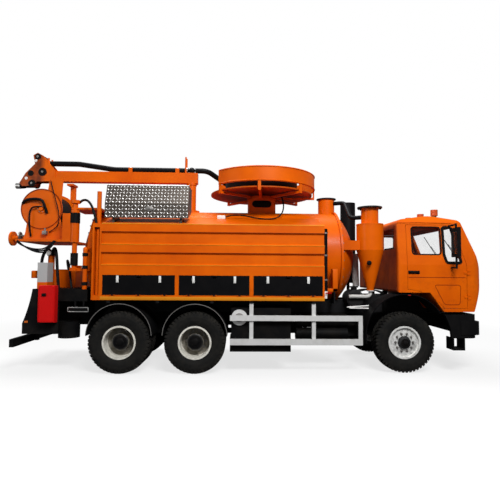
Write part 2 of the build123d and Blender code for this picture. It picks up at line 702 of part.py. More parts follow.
def cab_form(inset, tunnel_y, tunnel_top, wheel_r, wheel_y):
    with BuildSketch(Plane.XZ) as side_view:
        with BuildLine():
            FilletPolyline(*cab_side, radius=cab_side_bends, close=True)
        make_face()
        if inset:
            offset(amount=-inset, mode=Mode.REPLACE)
    extrude(side_view.sketch, amount=cab_half + 50, both=True)
    with BuildSketch(Plane.YZ.offset(front_x - 400)) as front_view:
        with BuildLine():
            FilletPolyline(
                (-cab_half, 1000), (cab_half, 1000), (cab_half, 1990), (cab_half - 85, 2790),
                (cab_half - 180, cab_top_z + 5), (180 - cab_half, cab_top_z + 5), (85 - cab_half, 2790),
                (-cab_half, 1990),
                radius=[0, 0, 0, 90, 60, 60, 90, 0], close=True,
            )
        make_face()
        if inset:
            offset(amount=-inset, mode=Mode.REPLACE)
    extrude(front_view.sketch, amount=2200, mode=Mode.INTERSECT)
    with BuildSketch(Plane.XY.offset(1000)) as plan_view:
        with Locations((front_x + 600 - 150 + (front_overhang - 1050) / 2, 0)):
            Rectangle(front_overhang + 150, cab_w)
        fillet(plan_view.vertices().group_by(Axis.X)[-1], 230)
        fillet(plan_view.vertices().group_by(Axis.X)[0], 70)
        if inset:
            offset(amount=-inset, mode=Mode.REPLACE)
    extrude(plan_view.sketch, amount=2200, mode=Mode.INTERSECT)
    block(front_x - 500, nose_x + 100, -tunnel_y, tunnel_y, 900, tunnel_top, Mode.SUBTRACT)
    for side in (-1, 1):
        bar((front_x, side * wheel_y, arch_z), (front_x, side * 1400, arch_z), wheel_r, Mode.SUBTRACT)


with BuildPart() as cab_block:
    cab_form(0, 380, 1440, arch_r, 700)

with BuildPart() as cab_void:
    cab_form(cab_wall, 380 + cab_wall, 1440 + cab_wall, arch_r + cab_wall, 700 - cab_wall)

door_rear_x = front_x + 30
door_front_x = front_x + 1140
door_top_z = 2740
door_sill_z = cab_floor_z + 60
door_arch_r = arch_r + 65


def door_outline(inset):
    sill_x = front_x + math.sqrt(door_arch_r**2 - (door_sill_z - arch_z) ** 2)
    heel_z = arch_z + math.sqrt(door_arch_r**2 - (door_rear_x - front_x) ** 2)
    with BuildLine() as edge:
        Polyline(
            (door_rear_x, heel_z), (door_rear_x, door_top_z), (front_x + 925, door_top_z),
            (door_front_x, 2000), (door_front_x, door_sill_z), (sill_x, door_sill_z),
        )
        RadiusArc((sill_x, door_sill_z), (door_rear_x, heel_z), -door_arch_r)
    make_face(edge.edges())
    if inset:
        offset(amount=-inset, kind=Kind.INTERSECTION, mode=Mode.REPLACE)


def window_outline(inset):
    with Locations((front_x + 405, 2440)):
        RectangleRounded(545 - 2 * inset, 515 - 2 * inset, 60 - inset)
    with BuildLine() as quarter:
        FilletPolyline(
            (front_x + 722 + inset, 2695 - inset), (front_x + 880 - inset, 2695 - inset),
            (front_x + 1040 - inset, 2030 + inset), (front_x + 770 + inset, 2030 + inset),
            (front_x + 722 + inset, 2180 + inset),
            radius=[30, 40, 30, 30, 60], close=True,
        )
    make_face(quarter.edges())


door_hinge = (door_front_x + 10, cab_half + 11)
door_hinge_stations = (1400, 1850)


def knuckle_bar(side, low_z, high_z):
    bar((door_hinge[0], side * door_hinge[1], low_z), (door_hinge[0], side * door_hinge[1], high_z), 8)


def hinge_leaf(side, x0, x1, y0, y1, z0, z1):
    block(x0, x1, min(side * y0, side * y1), max(side * y0, side * y1), z0, z1)


def door_prism(side, inset):
    with BuildSketch(Plane.XZ.offset(-side * 1000)) as outline:
        door_outline(inset)
    extrude(outline.sketch, amount=-side * 400)
    inner_y = cab_half - cab_wall
    block(door_rear_x - 50, nose_x, min(0, side * inner_y), max(0, side * inner_y), 1000, 1900, Mode.SUBTRACT)


with BuildPart() as door_openings:
    door_prism(-1, 0)
    both_sides()

rear_window_y = (360, 1040)
grille_z = (1215, 1640)
with BuildPart() as cab_shell:
    add(cab_block.part)
    add(cab_void.part, mode=Mode.SUBTRACT)
    add(door_openings.part, mode=Mode.SUBTRACT)
    for side in (-1, 1):
        for station in door_hinge_stations:
            for z0, z1 in ((station - 45, station - 20.5), (station + 20.5, station + 45)):
                knuckle_bar(side, z0, z1)
                hinge_leaf(side, door_hinge[0], door_hinge[0] + 60, cab_half - 10, cab_half + 9, z0, z1)
        block(
            front_x - 200, front_x - 80, min(side * rear_window_y[0], side * rear_window_y[1]),
            max(side * rear_window_y[0], side * rear_window_y[1]), 2290, 2680, Mode.SUBTRACT,
        )
    block(front_x + 800, nose_x + 50, -1000, 1000, 2045, 2715, Mode.SUBTRACT)
    block(front_x + 1100, nose_x + 50, -620, 620, grille_z[0], grille_z[1], Mode.SUBTRACT)
save(cab_shell, "cab_shell")


def screen_x(z, depth):
    return front_x + 1400 - depth - (z - 1990) * 340 / 840


with BuildPart() as cab_glass:
    side_prism(
        [
            (screen_x(2045.2, 22), 2045.2), (screen_x(2714.8, 22), 2714.8),
            (screen_x(2714.8, 34), 2714.8), (screen_x(2045.2, 34), 2045.2),
        ],
        -999.8,
        999.8,
    )
    for side in (-1, 1):
        with Locations((front_x - 125, side * (rear_window_y[0] + rear_window_y[1]) / 2, 2485)):
            Box(10, rear_window_y[1] - rear_window_y[0] - 1, 389)
save(cab_glass, "cab_glass")


def face_x(z, depth):
    return front_x + 1270 - depth + (z - cab_floor_z) * (front_overhang - 1270) / (cab_nose_z - cab_floor_z)


with BuildPart() as cab_grille:
    side_prism(
        [
            (face_x(1215.2, 12), 1215.2), (face_x(1639.8, 12), 1639.8),
            (face_x(1639.8, 48), 1639.8), (face_x(1215.2, 48), 1215.2),
        ],
        -619.8,
        619.8,
    )
    for slot in range(6):
        block(front_x + 1100, nose_x + 50, -570, 570, 1250 + 62 * slot, 1288 + 62 * slot, Mode.SUBTRACT)
save(cab_grille, "cab_grille")

with BuildPart() as cab_interior:
    side_prism(
        [
            (front_x + 1010, 1640), (front_x + 1500, 1640), (front_x + 1500, 1985),
            (front_x + 1130, 1985), (front_x + 1010, 1900),
        ],
        -1080,
        1080,
    )
    for side in (-1, 1):
        side_prism(
            [
                (front_x - 80, cab_rear_floor_z + cab_wall), (front_x + 430, cab_rear_floor_z + cab_wall),
                (front_x + 440, 1740), (front_x + 60, 1720), (front_x + 10, 2330), (front_x - 70, 2330),
            ],
            side * 560 - 260,
            side * 560 + 260,
        )
    add(cab_void.part, mode=Mode.INTERSECT)
    bar((front_x + 1100, 560, 1800), (front_x + 830, 560, 2000), 30)
    with Locations(Plane(origin=(front_x + 830, 560, 2000), z_dir=(-270, 0, 200))):
        Torus(220, 16)
        Box(430, 40, 14)
        Cylinder(60, 30)
save(cab_interior, "cab_interior")

# Amber beacons on the roof
Beacon = namedtuple("Beacon", "x y")
with BuildPart() as beacons:
    for beacon in (Beacon(front_x + 830, 620), Beacon(front_x + 830, 0), Beacon(front_x + 830, -620)):
        bar((beacon.x, beacon.y, 2800), (beacon.x, beacon.y, 2980), 45)
        bar((beacon.x, beacon.y, 2980), (beacon.x, beacon.y, 3100), 68)
    add(cab_block.part, mode=Mode.SUBTRACT)
save(beacons, "beacons")

# Doors with glass and mirrors
for side_name, side in (("right", -1), ("left", 1)):
    with BuildPart() as door_panel:
        door_prism(side, door_gap)
        add(cab_block.part, mode=Mode.INTERSECT)
        add(cab_void.part, mode=Mode.SUBTRACT)
        with BuildSketch(Plane.XZ.offset(-side * 1000)):
            window_outline(0)
        extrude(amount=-side * 400, mode=Mode.SUBTRACT)
        for station in door_hinge_stations:
            z0, z1 = station - 20, station + 20
            knuckle_bar(side, z0, z1)
            hinge_leaf(side, door_hinge[0] - 70, door_front_x - door_gap, cab_half - 10, cab_half + 9, z0, z1)
            hinge_leaf(side, door_front_x - door_gap, door_hinge[0], cab_half + 1.5, cab_half + 9, z0, z1)
    save(door_panel, f"door_panel_{side_name}")

    with BuildPart() as door_glass:
        pane_y = cab_half - 24
        cross_prism(
            [
                (side * pane_y, 1990), (side * (pane_y - 85), 2790),
                (side * (pane_y - 93), 2790), (side * (pane_y - 8), 1990),
            ],
            door_rear_x,
            door_front_x,
        )
        with BuildSketch(Plane.XZ.offset(-side * 1000)):
            window_outline(0.5)
        extrude(amount=-side * 400, mode=Mode.INTERSECT)
    save(door_glass, f"door_glass_{side_name}")

    with BuildPart() as mirror_head:
        bar((front_x + 850, side * cab_half, 1940), (front_x + 850, side * 1400, 1940), 16)
        bar((front_x + 850, side * 1400, 1920), (front_x + 850, side * 1400, 2740), 19)
        bar((front_x + 850, side * (cab_half - 75.8), 2720), (front_x + 850, side * 1400, 2720), 16)
        block(front_x + 820, front_x + 880, side * 1395 - 115, side * 1395 + 115, 2130, 2660)
    save(mirror_head, f"mirror_{side_name}")

    # Steering knuckle: fork, kingpin, backing plate and spindle
    with BuildPart() as knuckle:
        for ear_z in (axle_z + 71, axle_z - 121):
            bar((front_x, side * kingpin_y, ear_z), (front_x, side * kingpin_y, ear_z + 50), 68)
            block(
                front_x - 68, front_x + 68, min(side * kingpin_y, side * (kingpin_y + 110)),
                max(side * kingpin_y, side * (kingpin_y + 110)), ear_z, ear_z + 50,
            )
        block(
            front_x - 68, front_x + 68, min(side * (kingpin_y + 76), side * (kingpin_y + 110)),
            max(side * (kingpin_y + 76), side * (kingpin_y + 110)), axle_z - 121, axle_z + 121,
        )
        bar((front_x, side * kingpin_y, axle_z - 121), (front_x, side * kingpin_y, axle_z + 121), 25)
        bar((front_x, side * (kingpin_y + 100), axle_z), (front_x, side * (front_track / 2 + 50), axle_z), spindle_r)
    save(knuckle, f"knuckle_{side_name}")


def wheel_plane(x, y, side):
    return Plane(origin=(x, y, axle_z), x_dir=(0, side, 0), z_dir=(side, 0, 0))


def tyre(x, y, side):
    with BuildSketch(wheel_plane(x, y, side)) as section:
        with BuildLine():
            Polyline(
                (-rim_width / 2 + 2, rim_flange_r + 3), (-rim_width / 2 + 2, rim_seat_r + fit),
                (rim_width / 2 - 2, rim_seat_r + fit), (rim_width / 2 - 2, rim_flange_r + 3),
            )
            ThreePointArc(
                (rim_width / 2 - 2, rim_flange_r + 3), (tyre_w / 2, axle_z - 145), (tyre_w / 2 - 18, axle_z - 30),
            )
            Line((tyre_w / 2 - 18, axle_z - 30), (tyre_w / 2 - 40, axle_z - 6))
            ThreePointArc((tyre_w / 2 - 40, axle_z - 6), (0, axle_z), (-tyre_w / 2 + 40, axle_z - 6))
            Line((-tyre_w / 2 + 40, axle_z - 6), (-tyre_w / 2 + 18, axle_z - 30))
            ThreePointArc(
                (-tyre_w / 2 + 18, axle_z - 30), (-tyre_w / 2, axle_z - 145), (-rim_width / 2 + 2, rim_flange_r + 3),
            )
        make_face()
    revolve(section.sketch, axis=Axis((x, y, axle_z), (0, 1, 0)))


def rim(x, y, side, outline):
    with BuildSketch(wheel_plane(x, y, side)) as section:
        Polygon(*outline, align=None)
    revolve(section.sketch, axis=Axis((x, y, axle_z), (0, 1, 0)))


barrel_r = rim_seat_r - 17
half_rim = rim_width / 2
twin_half = twin_spacing / 2
front_rim_outline = [
    (60, 0), (60, spindle_r + fit), (-50, spindle_r + fit), (-50, 110), (45, 110), (50, barrel_r),
    (-half_rim - 12, barrel_r), (-half_rim - 12, rim_flange_r), (-half_rim, rim_flange_r), (-half_rim, rim_seat_r),
    (half_rim, rim_seat_r), (half_rim, rim_flange_r), (half_rim + 12, rim_flange_r), (half_rim + 12, barrel_r),
    (80, barrel_r), (95, 120), (130, 110), (140, 70), (140, 0),
]
twin_rim_outline = [
    (150, 0), (150, rear_spindle_r + fit), (-200, rear_spindle_r + fit), (-200, 150), (-20, 150), (-20, 200),
    (-70, barrel_r), (-twin_half - half_rim - 12, barrel_r), (-twin_half - half_rim - 12, rim_flange_r),
    (-twin_half - half_rim, rim_flange_r), (-twin_half - half_rim, rim_seat_r), (-twin_half + half_rim, rim_seat_r),
    (-twin_half + half_rim, rim_flange_r), (-twin_half + half_rim + 12, rim_flange_r), (-twin_half + half_rim + 12, 278),
    (-8, 215), (8, 215), (twin_half - half_rim - 12, 278), (twin_half - half_rim - 12, rim_flange_r),
    (twin_half - half_rim, rim_flange_r), (twin_half - half_rim, rim_seat_r), (twin_half + half_rim, rim_seat_r),
    (twin_half + half_rim, rim_flange_r), (twin_half + half_rim + 12, rim_flange_r),
    (twin_half + half_rim + 12, barrel_r), (70, barrel_r), (20, 200), (20, 150), (185, 150), (200, 130), (200, 0),
]

for side_name, side in (("right", -1), ("left", 1)):
    with BuildPart() as front_tyre:
        tyre(front_x, side * front_track / 2, side)
    save(front_tyre, f"front_tyre_{side_name}")
    with BuildPart() as front_rim:
        rim(front_x, side * front_track / 2, side, front_rim_outline)
    save(front_rim, f"front_rim_{side_name}")
    for axle_name, axle_x in (("drive", drive_x), ("rear", rear_x)):
        with BuildPart() as twin_tyres:
            tyre(axle_x, side * (twin_track / 2 - twin_half), side)
            tyre(axle_x, side * (twin_track / 2 + twin_half), side)
        save(twin_tyres, f"{axle_name}_tyres_{side_name}")
        with BuildPart() as twin_rims:
            rim(axle_x, side * twin_track / 2, side, twin_rim_outline)
        save(twin_rims, f"{axle_name}_rims_{side_name}")
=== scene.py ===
import math

import bmesh
import bpy
from mathutils import Matrix, Vector


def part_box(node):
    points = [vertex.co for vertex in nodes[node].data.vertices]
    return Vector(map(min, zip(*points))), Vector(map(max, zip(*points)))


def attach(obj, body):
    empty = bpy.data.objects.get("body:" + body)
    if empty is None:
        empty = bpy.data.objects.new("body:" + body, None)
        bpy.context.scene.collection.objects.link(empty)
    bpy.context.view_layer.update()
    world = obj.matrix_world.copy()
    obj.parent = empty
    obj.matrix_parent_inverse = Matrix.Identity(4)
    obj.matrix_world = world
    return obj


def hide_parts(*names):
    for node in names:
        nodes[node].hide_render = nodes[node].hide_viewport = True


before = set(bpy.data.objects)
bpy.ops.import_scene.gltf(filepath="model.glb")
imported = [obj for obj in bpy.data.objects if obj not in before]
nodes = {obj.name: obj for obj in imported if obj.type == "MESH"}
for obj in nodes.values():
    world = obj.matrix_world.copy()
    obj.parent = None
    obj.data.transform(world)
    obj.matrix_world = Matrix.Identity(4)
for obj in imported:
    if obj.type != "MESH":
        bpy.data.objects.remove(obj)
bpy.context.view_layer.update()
print("frame loaded:", len(nodes), "nodes")


def middle(node):
    low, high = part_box(node)
    return (Vector(low) + Vector(high)) / 2


def lowOf(node):
    return Vector(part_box(node)[0])


sides = {"right": -1, "left": 1}
frontX = middle("front_tyre_right").x
driveX = middle("drive_tyres_right").x
rearX = middle("rear_tyres_right").x
axleZ = middle("front_tyre_right").z
flapNames = ("rear", "middle", "front")


def fromRear(x, y, z):    # x runs forward from the rearmost axle
    return (rearX + x, y, z)


# shader sums written as Python

class Signal:
    def __init__(self, board, socket):
        self.board = board
        self.socket = socket

    def maths(self, operation, first, second):
        return self.board.add("ShaderNodeMath", {"operation": operation}, {0: first, 1: second})

    def __add__(self, other):
        return self.maths("ADD", self, other)

    def __radd__(self, other):
        return self.maths("ADD", other, self)

    def __sub__(self, other):
        return self.maths("SUBTRACT", self, other)

    def __rsub__(self, other):
        return self.maths("SUBTRACT", other, self)

    def __mul__(self, other):
        return self.maths("MULTIPLY", self, other)

    def __pow__(self, other):
        return self.maths("POWER", self, other)

    def __gt__(self, other):
        return self.maths("GREATER_THAN", self, other)

    def __lt__(self, other):
        return self.maths("LESS_THAN", self, other)


class Board:
    def __init__(self, tree):
        self.tree = tree

    def add(self, kind, settings=None, inputs=None, output=0):
        node = self.tree.nodes.new(kind)
        for key, value in (settings or {}).items():
            setattr(node, key, value)
        for key, value in (inputs or {}).items():
            self.feed(node.inputs[key], value)
        return Signal(self, node.outputs[output])

    def feed(self, socket, value):
        if isinstance(value, Signal):
            self.tree.links.new(value.socket, socket)
        else:
            socket.default_value = value


class Finish(Board):
    def __init__(self, name, steady):
        self.material = bpy.data.materials.new(name)
        self.material.use_nodes = True
        super().__init__(self.material.node_tree)
        self.shader = self.tree.nodes["Principled BSDF"]
        for socketName, value in steady.items():
            self.set(socketName, value)
        self.spot = self.add("ShaderNodeTexCoord", output="Object")

    def set(self, socketName, value):
        self.feed(self.shader.inputs[socketName], value)

    def along(self, letter):
        return self.add("ShaderNodeSeparateXYZ", {}, {"Vector": self.spot}, output=letter)

    def noise(self, scale, detail=4.0, rough=0.55):
        values = {"Vector": self.spot, "Scale": scale, "Detail": detail, "Roughness": rough}
        return self.add("ShaderNodeTexNoise", {}, values)

    def between(self, value, low, high):
        values = {"Value": value, "From Min": low, "From Max": high}
        return self.add("ShaderNodeMapRange", {"clamp": True}, values)

    def mix(self, share, first, second):
        return self.add("ShaderNodeMix", {"data_type": "RGBA"}, {0: share, 6: first, 7: second}, output=2)

    def emboss(self, height, strength, distance):
        values = {"Strength": strength, "Distance": distance, "Height": height}
        self.set("Normal", self.add("ShaderNodeBump", {}, values))


def rgb(red, green, blue):
    return (red, green, blue, 1.0)


def reachOf(first, second):
    return (first * first + second * second) ** 0.5


# paints

orangeLook = {
    "bright": rgb(0.68, 0.112, 0.0),
    "deep": rgb(0.57, 0.080, 0.0),
    "grime": rgb(0.16, 0.040, 0.006),
    "grimeBelow": 1.45,
    "rough": 0.34,
    "peelScale": 190.0,
}


def orangePaint(name, cover=None):
    look = orangeLook
    finish = Finish(name, {"Coat Roughness": 0.16, "Coat Weight": 0.05, "Specular IOR Level": 0.10})
    clouds = finish.between(finish.noise(1.6, 3.0), 0.35, 0.7)
    colour = finish.mix(clouds, look["bright"], look["deep"])
    streaks = finish.between(finish.noise(7.0, 6.0, 0.7), 0.52, 0.78)
    low = 1 - finish.between(finish.along("Z"), look["grimeBelow"] - 0.35, look["grimeBelow"] + 0.5)
    colour = finish.mix(streaks * (low * 0.55 + 0.10), colour, look["grime"])
    rough = look["rough"] + finish.noise(11.0) * 0.12
    if cover:
        mask, coverColour = cover(finish)
        colour = finish.mix(mask, colour, coverColour)
    finish.set("Base Color", colour)
    finish.set("Roughness", rough)
    finish.emboss(finish.noise(look["peelScale"], 1.0), 0.05, 0.002)
    return finish.material


def darkPaint(name, colour, dust, rough, dustShare=0.5, peel=120.0):
    finish = Finish(name, {"Specular IOR Level": 0.07})
    clouds = finish.between(finish.noise(4.0, 6.0, 0.65), 0.42, 0.75)
    finish.set("Base Color", finish.mix(clouds * dustShare, colour, dust))
    finish.set("Roughness", rough + finish.noise(18.0) * 0.15)
    finish.emboss(finish.noise(peel, 2.0), 0.08, 0.003)
    return finish.material


def metal(name, colour, stain, rough, shine=1.0):
    finish = Finish(name, {"Metallic": shine, "Specular IOR Level": 0.5 if shine else 0.12})
    clouds = finish.between(finish.noise(6.0, 6.0, 0.7), 0.45, 0.8)
    finish.set("Base Color", finish.mix(clouds * 0.6, colour, stain))
    finish.set("Roughness", rough + finish.noise(30.0) * 0.18)
    finish.emboss(finish.noise(160.0, 2.0), 0.05, 0.002)
    return finish.material


def lensPlastic(name, colour, glow):
    steady = {"Coat Weight": 0.6, "Coat Roughness": 0.06, "Roughness": 0.16, "Emission Strength": glow}
    finish = Finish(name, steady)
    finish.set("Emission Color", colour)
    ribs = finish.between(finish.noise(70.0, 1.0), 0.4, 0.6)
    deep = tuple(part * 0.7 for part in colour[:3]) + (1.0,)
    finish.set("Base Color", finish.mix(ribs, colour, deep))
    return finish.material


def clearGlass(name, tint, alpha):
    finish = Finish(name, {"Roughness": 0.03, "IOR": 1.45, "Coat Weight": 0.5, "Coat Roughness": 0.02})
    film = finish.between(finish.noise(5.0, 5.0), 0.4, 0.8)
    finish.set("Base Color", tint)
    finish.set("Alpha", alpha + film * 0.03)
    return finish.material


def wheelPaint(name, look, wheelX):
    finish = Finish(name, {})
    reach = reachOf(finish.along("X") - wheelX, finish.along("Z") - axleZ)
    dirt = finish.between(finish.noise(14.0, 6.0, 0.7), 0.42, 0.72)
    worn = finish.mix(dirt * 0.5, look["face"], rgb(0.16, 0.13, 0.10))
    inner = finish.mix(dirt * 0.7, look["dish"], rgb(0.03, 0.026, 0.02))
    colour = finish.mix(reach > look["flangeRadius"], inner, worn)
    colour = finish.mix(reach < look["hubRadius"], colour, look["hub"])
    finish.set("Base Color", colour)
    finish.set("Metallic", (reach > look["hubRadius"]) * look["shine"])
    finish.set("Roughness", 0.42 + dirt * 0.2)
    finish.emboss(finish.noise(90.0), 0.06, 0.002)
    return finish.material


def tyreRubber(name, wheelX):
    finish = Finish(name, {"Specular IOR Level": 0.14})
    reach = reachOf(finish.along("X") - wheelX, finish.along("Z") - axleZ)
    dust = finish.between(finish.noise(10.0, 7.0, 0.7), 0.40, 0.75)
    road = finish.between(reach, 0.46, 0.555)
    colour = finish.mix(dust * (0.35 + road * 0.5), rgb(0.006, 0.006, 0.006), rgb(0.034, 0.030, 0.024))
    finish.set("Base Color", colour)
    finish.set("Roughness", 0.72 + dust * 0.18)
    rings = finish.add("ShaderNodeMath", {"operation": "SINE"}, {0: reach * 260.0})
    finish.emboss(rings * 0.4 + finish.noise(120.0), 0.12, 0.003)
    return finish.material


# Colours and bounds of the painted shade on the cab
cabShadeLook = {
    "wall": rgb(0.10, 0.010, 0.004), "arch": rgb(0.004, 0.004, 0.004), "archZ": 0.640, "archRadius": 0.8325,
    "wallFrom": frontX - 0.150, "wallTo": frontX - 0.115,
}


# Painted shade: the cab's rear wall turns dark red and the inside of the front wheel arch near black, with
# noise varying how much of the wall is darkened.
def cabShadePaint(finish):
    shadeNoise = finish.between(finish.noise(3.0, 5.0), 0.25, 0.7)
    behind = 1 - finish.between(finish.along("X"), cabShadeLook["wallFrom"], cabShadeLook["wallTo"])
    reach = reachOf(finish.along("X") - frontX, finish.along("Z") - cabShadeLook["archZ"])
    arch = reach < cabShadeLook["archRadius"]
    colour = finish.mix(arch, cabShadeLook["wall"], cabShadeLook["arch"])
    return behind * (0.55 + shadeNoise * 0.35) * (1 - arch) + arch, colour


def underBlack(finish):
    black = (finish.along("Z") < 1.312) + (finish.along("X") > rearX + 3.97)
    return black, rgb(0.010, 0.010, 0.011)


def fittingTrim(finish):
    grey = (finish.along("X") > rearX - 1.575) * (finish.along("Y") < -0.74) * (finish.along("Z") > 1.62)
    return grey, rgb(0.40, 0.40, 0.40)


def beaconPaint(name):
    finish = Finish(name, {"Coat Weight": 0.4, "Coat Roughness": 0.1, "Roughness": 0.3})
    lens = finish.along("Z") > 2.980
    ribs = finish.between(finish.noise(60.0, 1.0), 0.4, 0.6)
    amber = finish.mix(ribs, rgb(0.55, 0.085, 0.004), rgb(0.36, 0.045, 0.003))
    finish.set("Base Color", finish.mix(lens, rgb(0.012, 0.012, 0.013), amber))
    return finish.material


def lampGlass(name):
    finish = Finish(name, {"Coat Weight": 0.6, "Coat Roughness": 0.05, "Roughness": 0.2})
    ribs = finish.between(finish.noise(60.0, 1.0), 0.4, 0.6)
    clear = finish.mix(ribs, rgb(0.70, 0.70, 0.68), rgb(0.45, 0.45, 0.44))
    red = finish.mix(ribs, rgb(0.40, 0.010, 0.008), rgb(0.25, 0.008, 0.006))
    finish.set("Base Color", finish.mix(finish.along("X") > 0.0, red, clear))
    return finish.material


# The rear end of the boom head turns dark red-brown in noisy patches.
def headDarkening(finish):
    grime = finish.between(finish.noise(6.0, 5.0), 0.30, 0.65)
    head = 1 - finish.between(finish.along("X"), rearX - 2.010, rearX - 1.900)
    return head * (0.45 + grime * 0.45), rgb(0.085, 0.017, 0.006)


def neckFlange(finish):
    return finish.along("Z") > 3.378, rgb(0.012, 0.012, 0.013)


def cycloneTrim(finish):
    z = finish.along("Z")
    return (z > 3.084) + (z < 1.500), finish.mix(z < 2.0, rgb(0.02, 0.018, 0.016), rgb(0.52, 0.52, 0.50))


reelShape = {"x": rearX + 2.600, "radius": 1.118}


# Painted shade under the reel tub: the drum turns dark red below the tub floor, darker towards the middle.
def reelUnderShade(finish):
    reach = reachOf(finish.along("X") - reelShape["x"], finish.along("Y"))
    inner = 1 - finish.between(reach, 0.55, 1.10)
    return (finish.along("Z") < 3.460) * (0.30 + inner * 0.62), rgb(0.030, 0.004, 0.003)


finishes = {
    "orange": orangePaint("orange_paint"),
    "orangeTank": orangePaint("orange_tank_paint", neckFlange),
    "orangeCyclone": orangePaint("orange_cyclone_paint", cycloneTrim),
    "orangeCab": orangePaint("orange_cab_paint", cabShadePaint),
    "orangeFrame": orangePaint("orange_frame_paint", underBlack),
    "orangeFitting": orangePaint("orange_fitting_paint", fittingTrim),
    "orangeReel": orangePaint("orange_reel_paint", reelUnderShade),
    "orangeBoom": orangePaint("orange_boom_paint", headDarkening),
    "lockerBlack": darkPaint("locker_black", rgb(0.003, 0.003, 0.0036), rgb(0.009, 0.008, 0.008), 0.34, 0.4),
    "chassisBlack": darkPaint("chassis_black", rgb(0.0035, 0.0035, 0.004), rgb(0.018, 0.015, 0.012), 0.52),
    "trimBlack": darkPaint(
        "trim_black", rgb(0.004, 0.004, 0.0045), rgb(0.012, 0.011, 0.010), 0.46, 0.5, 260.0,
    ),
    "hoseRubber": darkPaint("hose_rubber", rgb(0.004, 0.004, 0.005), rgb(0.014, 0.012, 0.010), 0.38, 0.4),
    "castIron": darkPaint("cast_iron", rgb(0.016, 0.016, 0.017), rgb(0.010, 0.008, 0.007), 0.55),
    # painted shade: a dark orange for the shade lines on the side-panel folds, the door crease and pressing,
    # and the jet cheek edge
    "paintedShadeOrange": metal("painted_shade_orange", rgb(0.26, 0.030, 0.0), rgb(0.18, 0.020, 0.0), 0.45, 0.0),
    "seatCloth": darkPaint("seat_cloth", rgb(0.025, 0.025, 0.028), rgb(0.05, 0.048, 0.045), 0.85, 0.6, 420.0),
    "guardGrey": metal("guard_grey", rgb(0.66, 0.66, 0.655), rgb(0.45, 0.44, 0.42), 0.42, 0.25),
    # Tread plate: the dark plate colour is a painted dark reflection of the aluminium, and the near-white
    # lozenges are painted glints on the same metal.
    "treadPlate": metal("tread_plate", rgb(0.13, 0.11, 0.095), rgb(0.08, 0.065, 0.055), 0.34),
    "treadLozenge": metal("tread_lozenge", rgb(0.92, 0.91, 0.89), rgb(0.78, 0.76, 0.73), 0.24, 0.4),
    "brightSteel": metal("bright_steel", rgb(0.68, 0.68, 0.67), rgb(0.40, 0.38, 0.35), 0.30),
    "dullSteel": metal("dull_steel", rgb(0.26, 0.25, 0.24), rgb(0.12, 0.10, 0.08), 0.42, 0.8),
    "whitePlastic": metal("white_plastic", rgb(0.78, 0.78, 0.76), rgb(0.55, 0.54, 0.50), 0.38, 0.0),
    # Lighter, yellower orange: the lower rail's colour, and painted highlights on the panel beads.
    "lowerRail": metal("lower_rail_paint", rgb(0.62, 0.215, 0.008), rgb(0.46, 0.15, 0.012), 0.36, 0.0),
    "redPlastic": metal("red_plastic", rgb(0.58, 0.006, 0.006), rgb(0.44, 0.006, 0.006), 0.30, 0.0),
    "glass": clearGlass("cab_glass", rgb(0.03, 0.035, 0.035), 0.05),
    "beacon": beaconPaint("beacon_paint"),
    "lampGlass": lampGlass("lamp_glass"),
    "greyDuct": darkPaint("grey_duct", rgb(0.50, 0.50, 0.49), rgb(0.22, 0.21, 0.20), 0.6, 0.5, 60.0),
    "amber": lensPlastic("amber_lens", rgb(0.62, 0.13, 0.008), 0.1),
    "redLens": lensPlastic("red_lens", rgb(0.42, 0.012, 0.010), 0.05),
    "mirrorGlass": metal("mirror_glass", rgb(0.75, 0.76, 0.77), rgb(0.70, 0.71, 0.72), 0.04),
}
print("finishes mixed:", len(finishes))

# finishes for the frame's own nodes

nodeFinish = {
    "frame_rails": "chassisBlack", "front_axle": "chassisBlack", "rear_axles": "chassisBlack",
    "leaf_springs": "chassisBlack", "side_tanks": "chassisBlack", "rear_apron": "chassisBlack",
    "engine_block": "castIron", "front_bumper": "trimBlack", "mudguards": "trimBlack",
    "cab_grille": "trimBlack", "lamps": "lampGlass", "beacons": "beacon", "side_guards": "guardGrey",
    "extinguisher_box": "redPlastic", "body_frame": "orangeFrame", "side_panels": "orange",
    "tank_shell": "orangeTank", "cyclone": "orangeCyclone", "roof_stands": "orange",
    "rear_fittings": "orangeFitting", "reel_drum": "orangeReel",
    "boom_beam": "orangeBoom", "jet_arm": "orange", "jet_reel_drum": "orange", "cab_shell": "orangeCab",
    "pipework": "hoseRubber", "reel_winding": "hoseRubber", "boom_hose": "hoseRubber",
    "jet_winding": "hoseRubber", "tool_box": "treadPlate", "tool_box_lid": "treadPlate",
    "cab_glass": "glass", "cab_interior": "seatCloth",
}
for sideName in sides:
    nodeFinish[f"door_panel_{sideName}"] = "orange"
    nodeFinish[f"door_glass_{sideName}"] = "glass"
    nodeFinish[f"mirror_{sideName}"] = "trimBlack"
    nodeFinish[f"knuckle_{sideName}"] = "chassisBlack"
    for flapName in flapNames:
        nodeFinish[f"locker_flap_{sideName}_{flapName}"] = "lockerBlack"


def dress(node, material):
    mesh = nodes[node].data
    mesh.materials.clear()
    mesh.materials.append(material)


for node, look in nodeFinish.items():
    dress(node, finishes[look])
print("nodes dressed:", len(nodeFinish))


# mesh tools

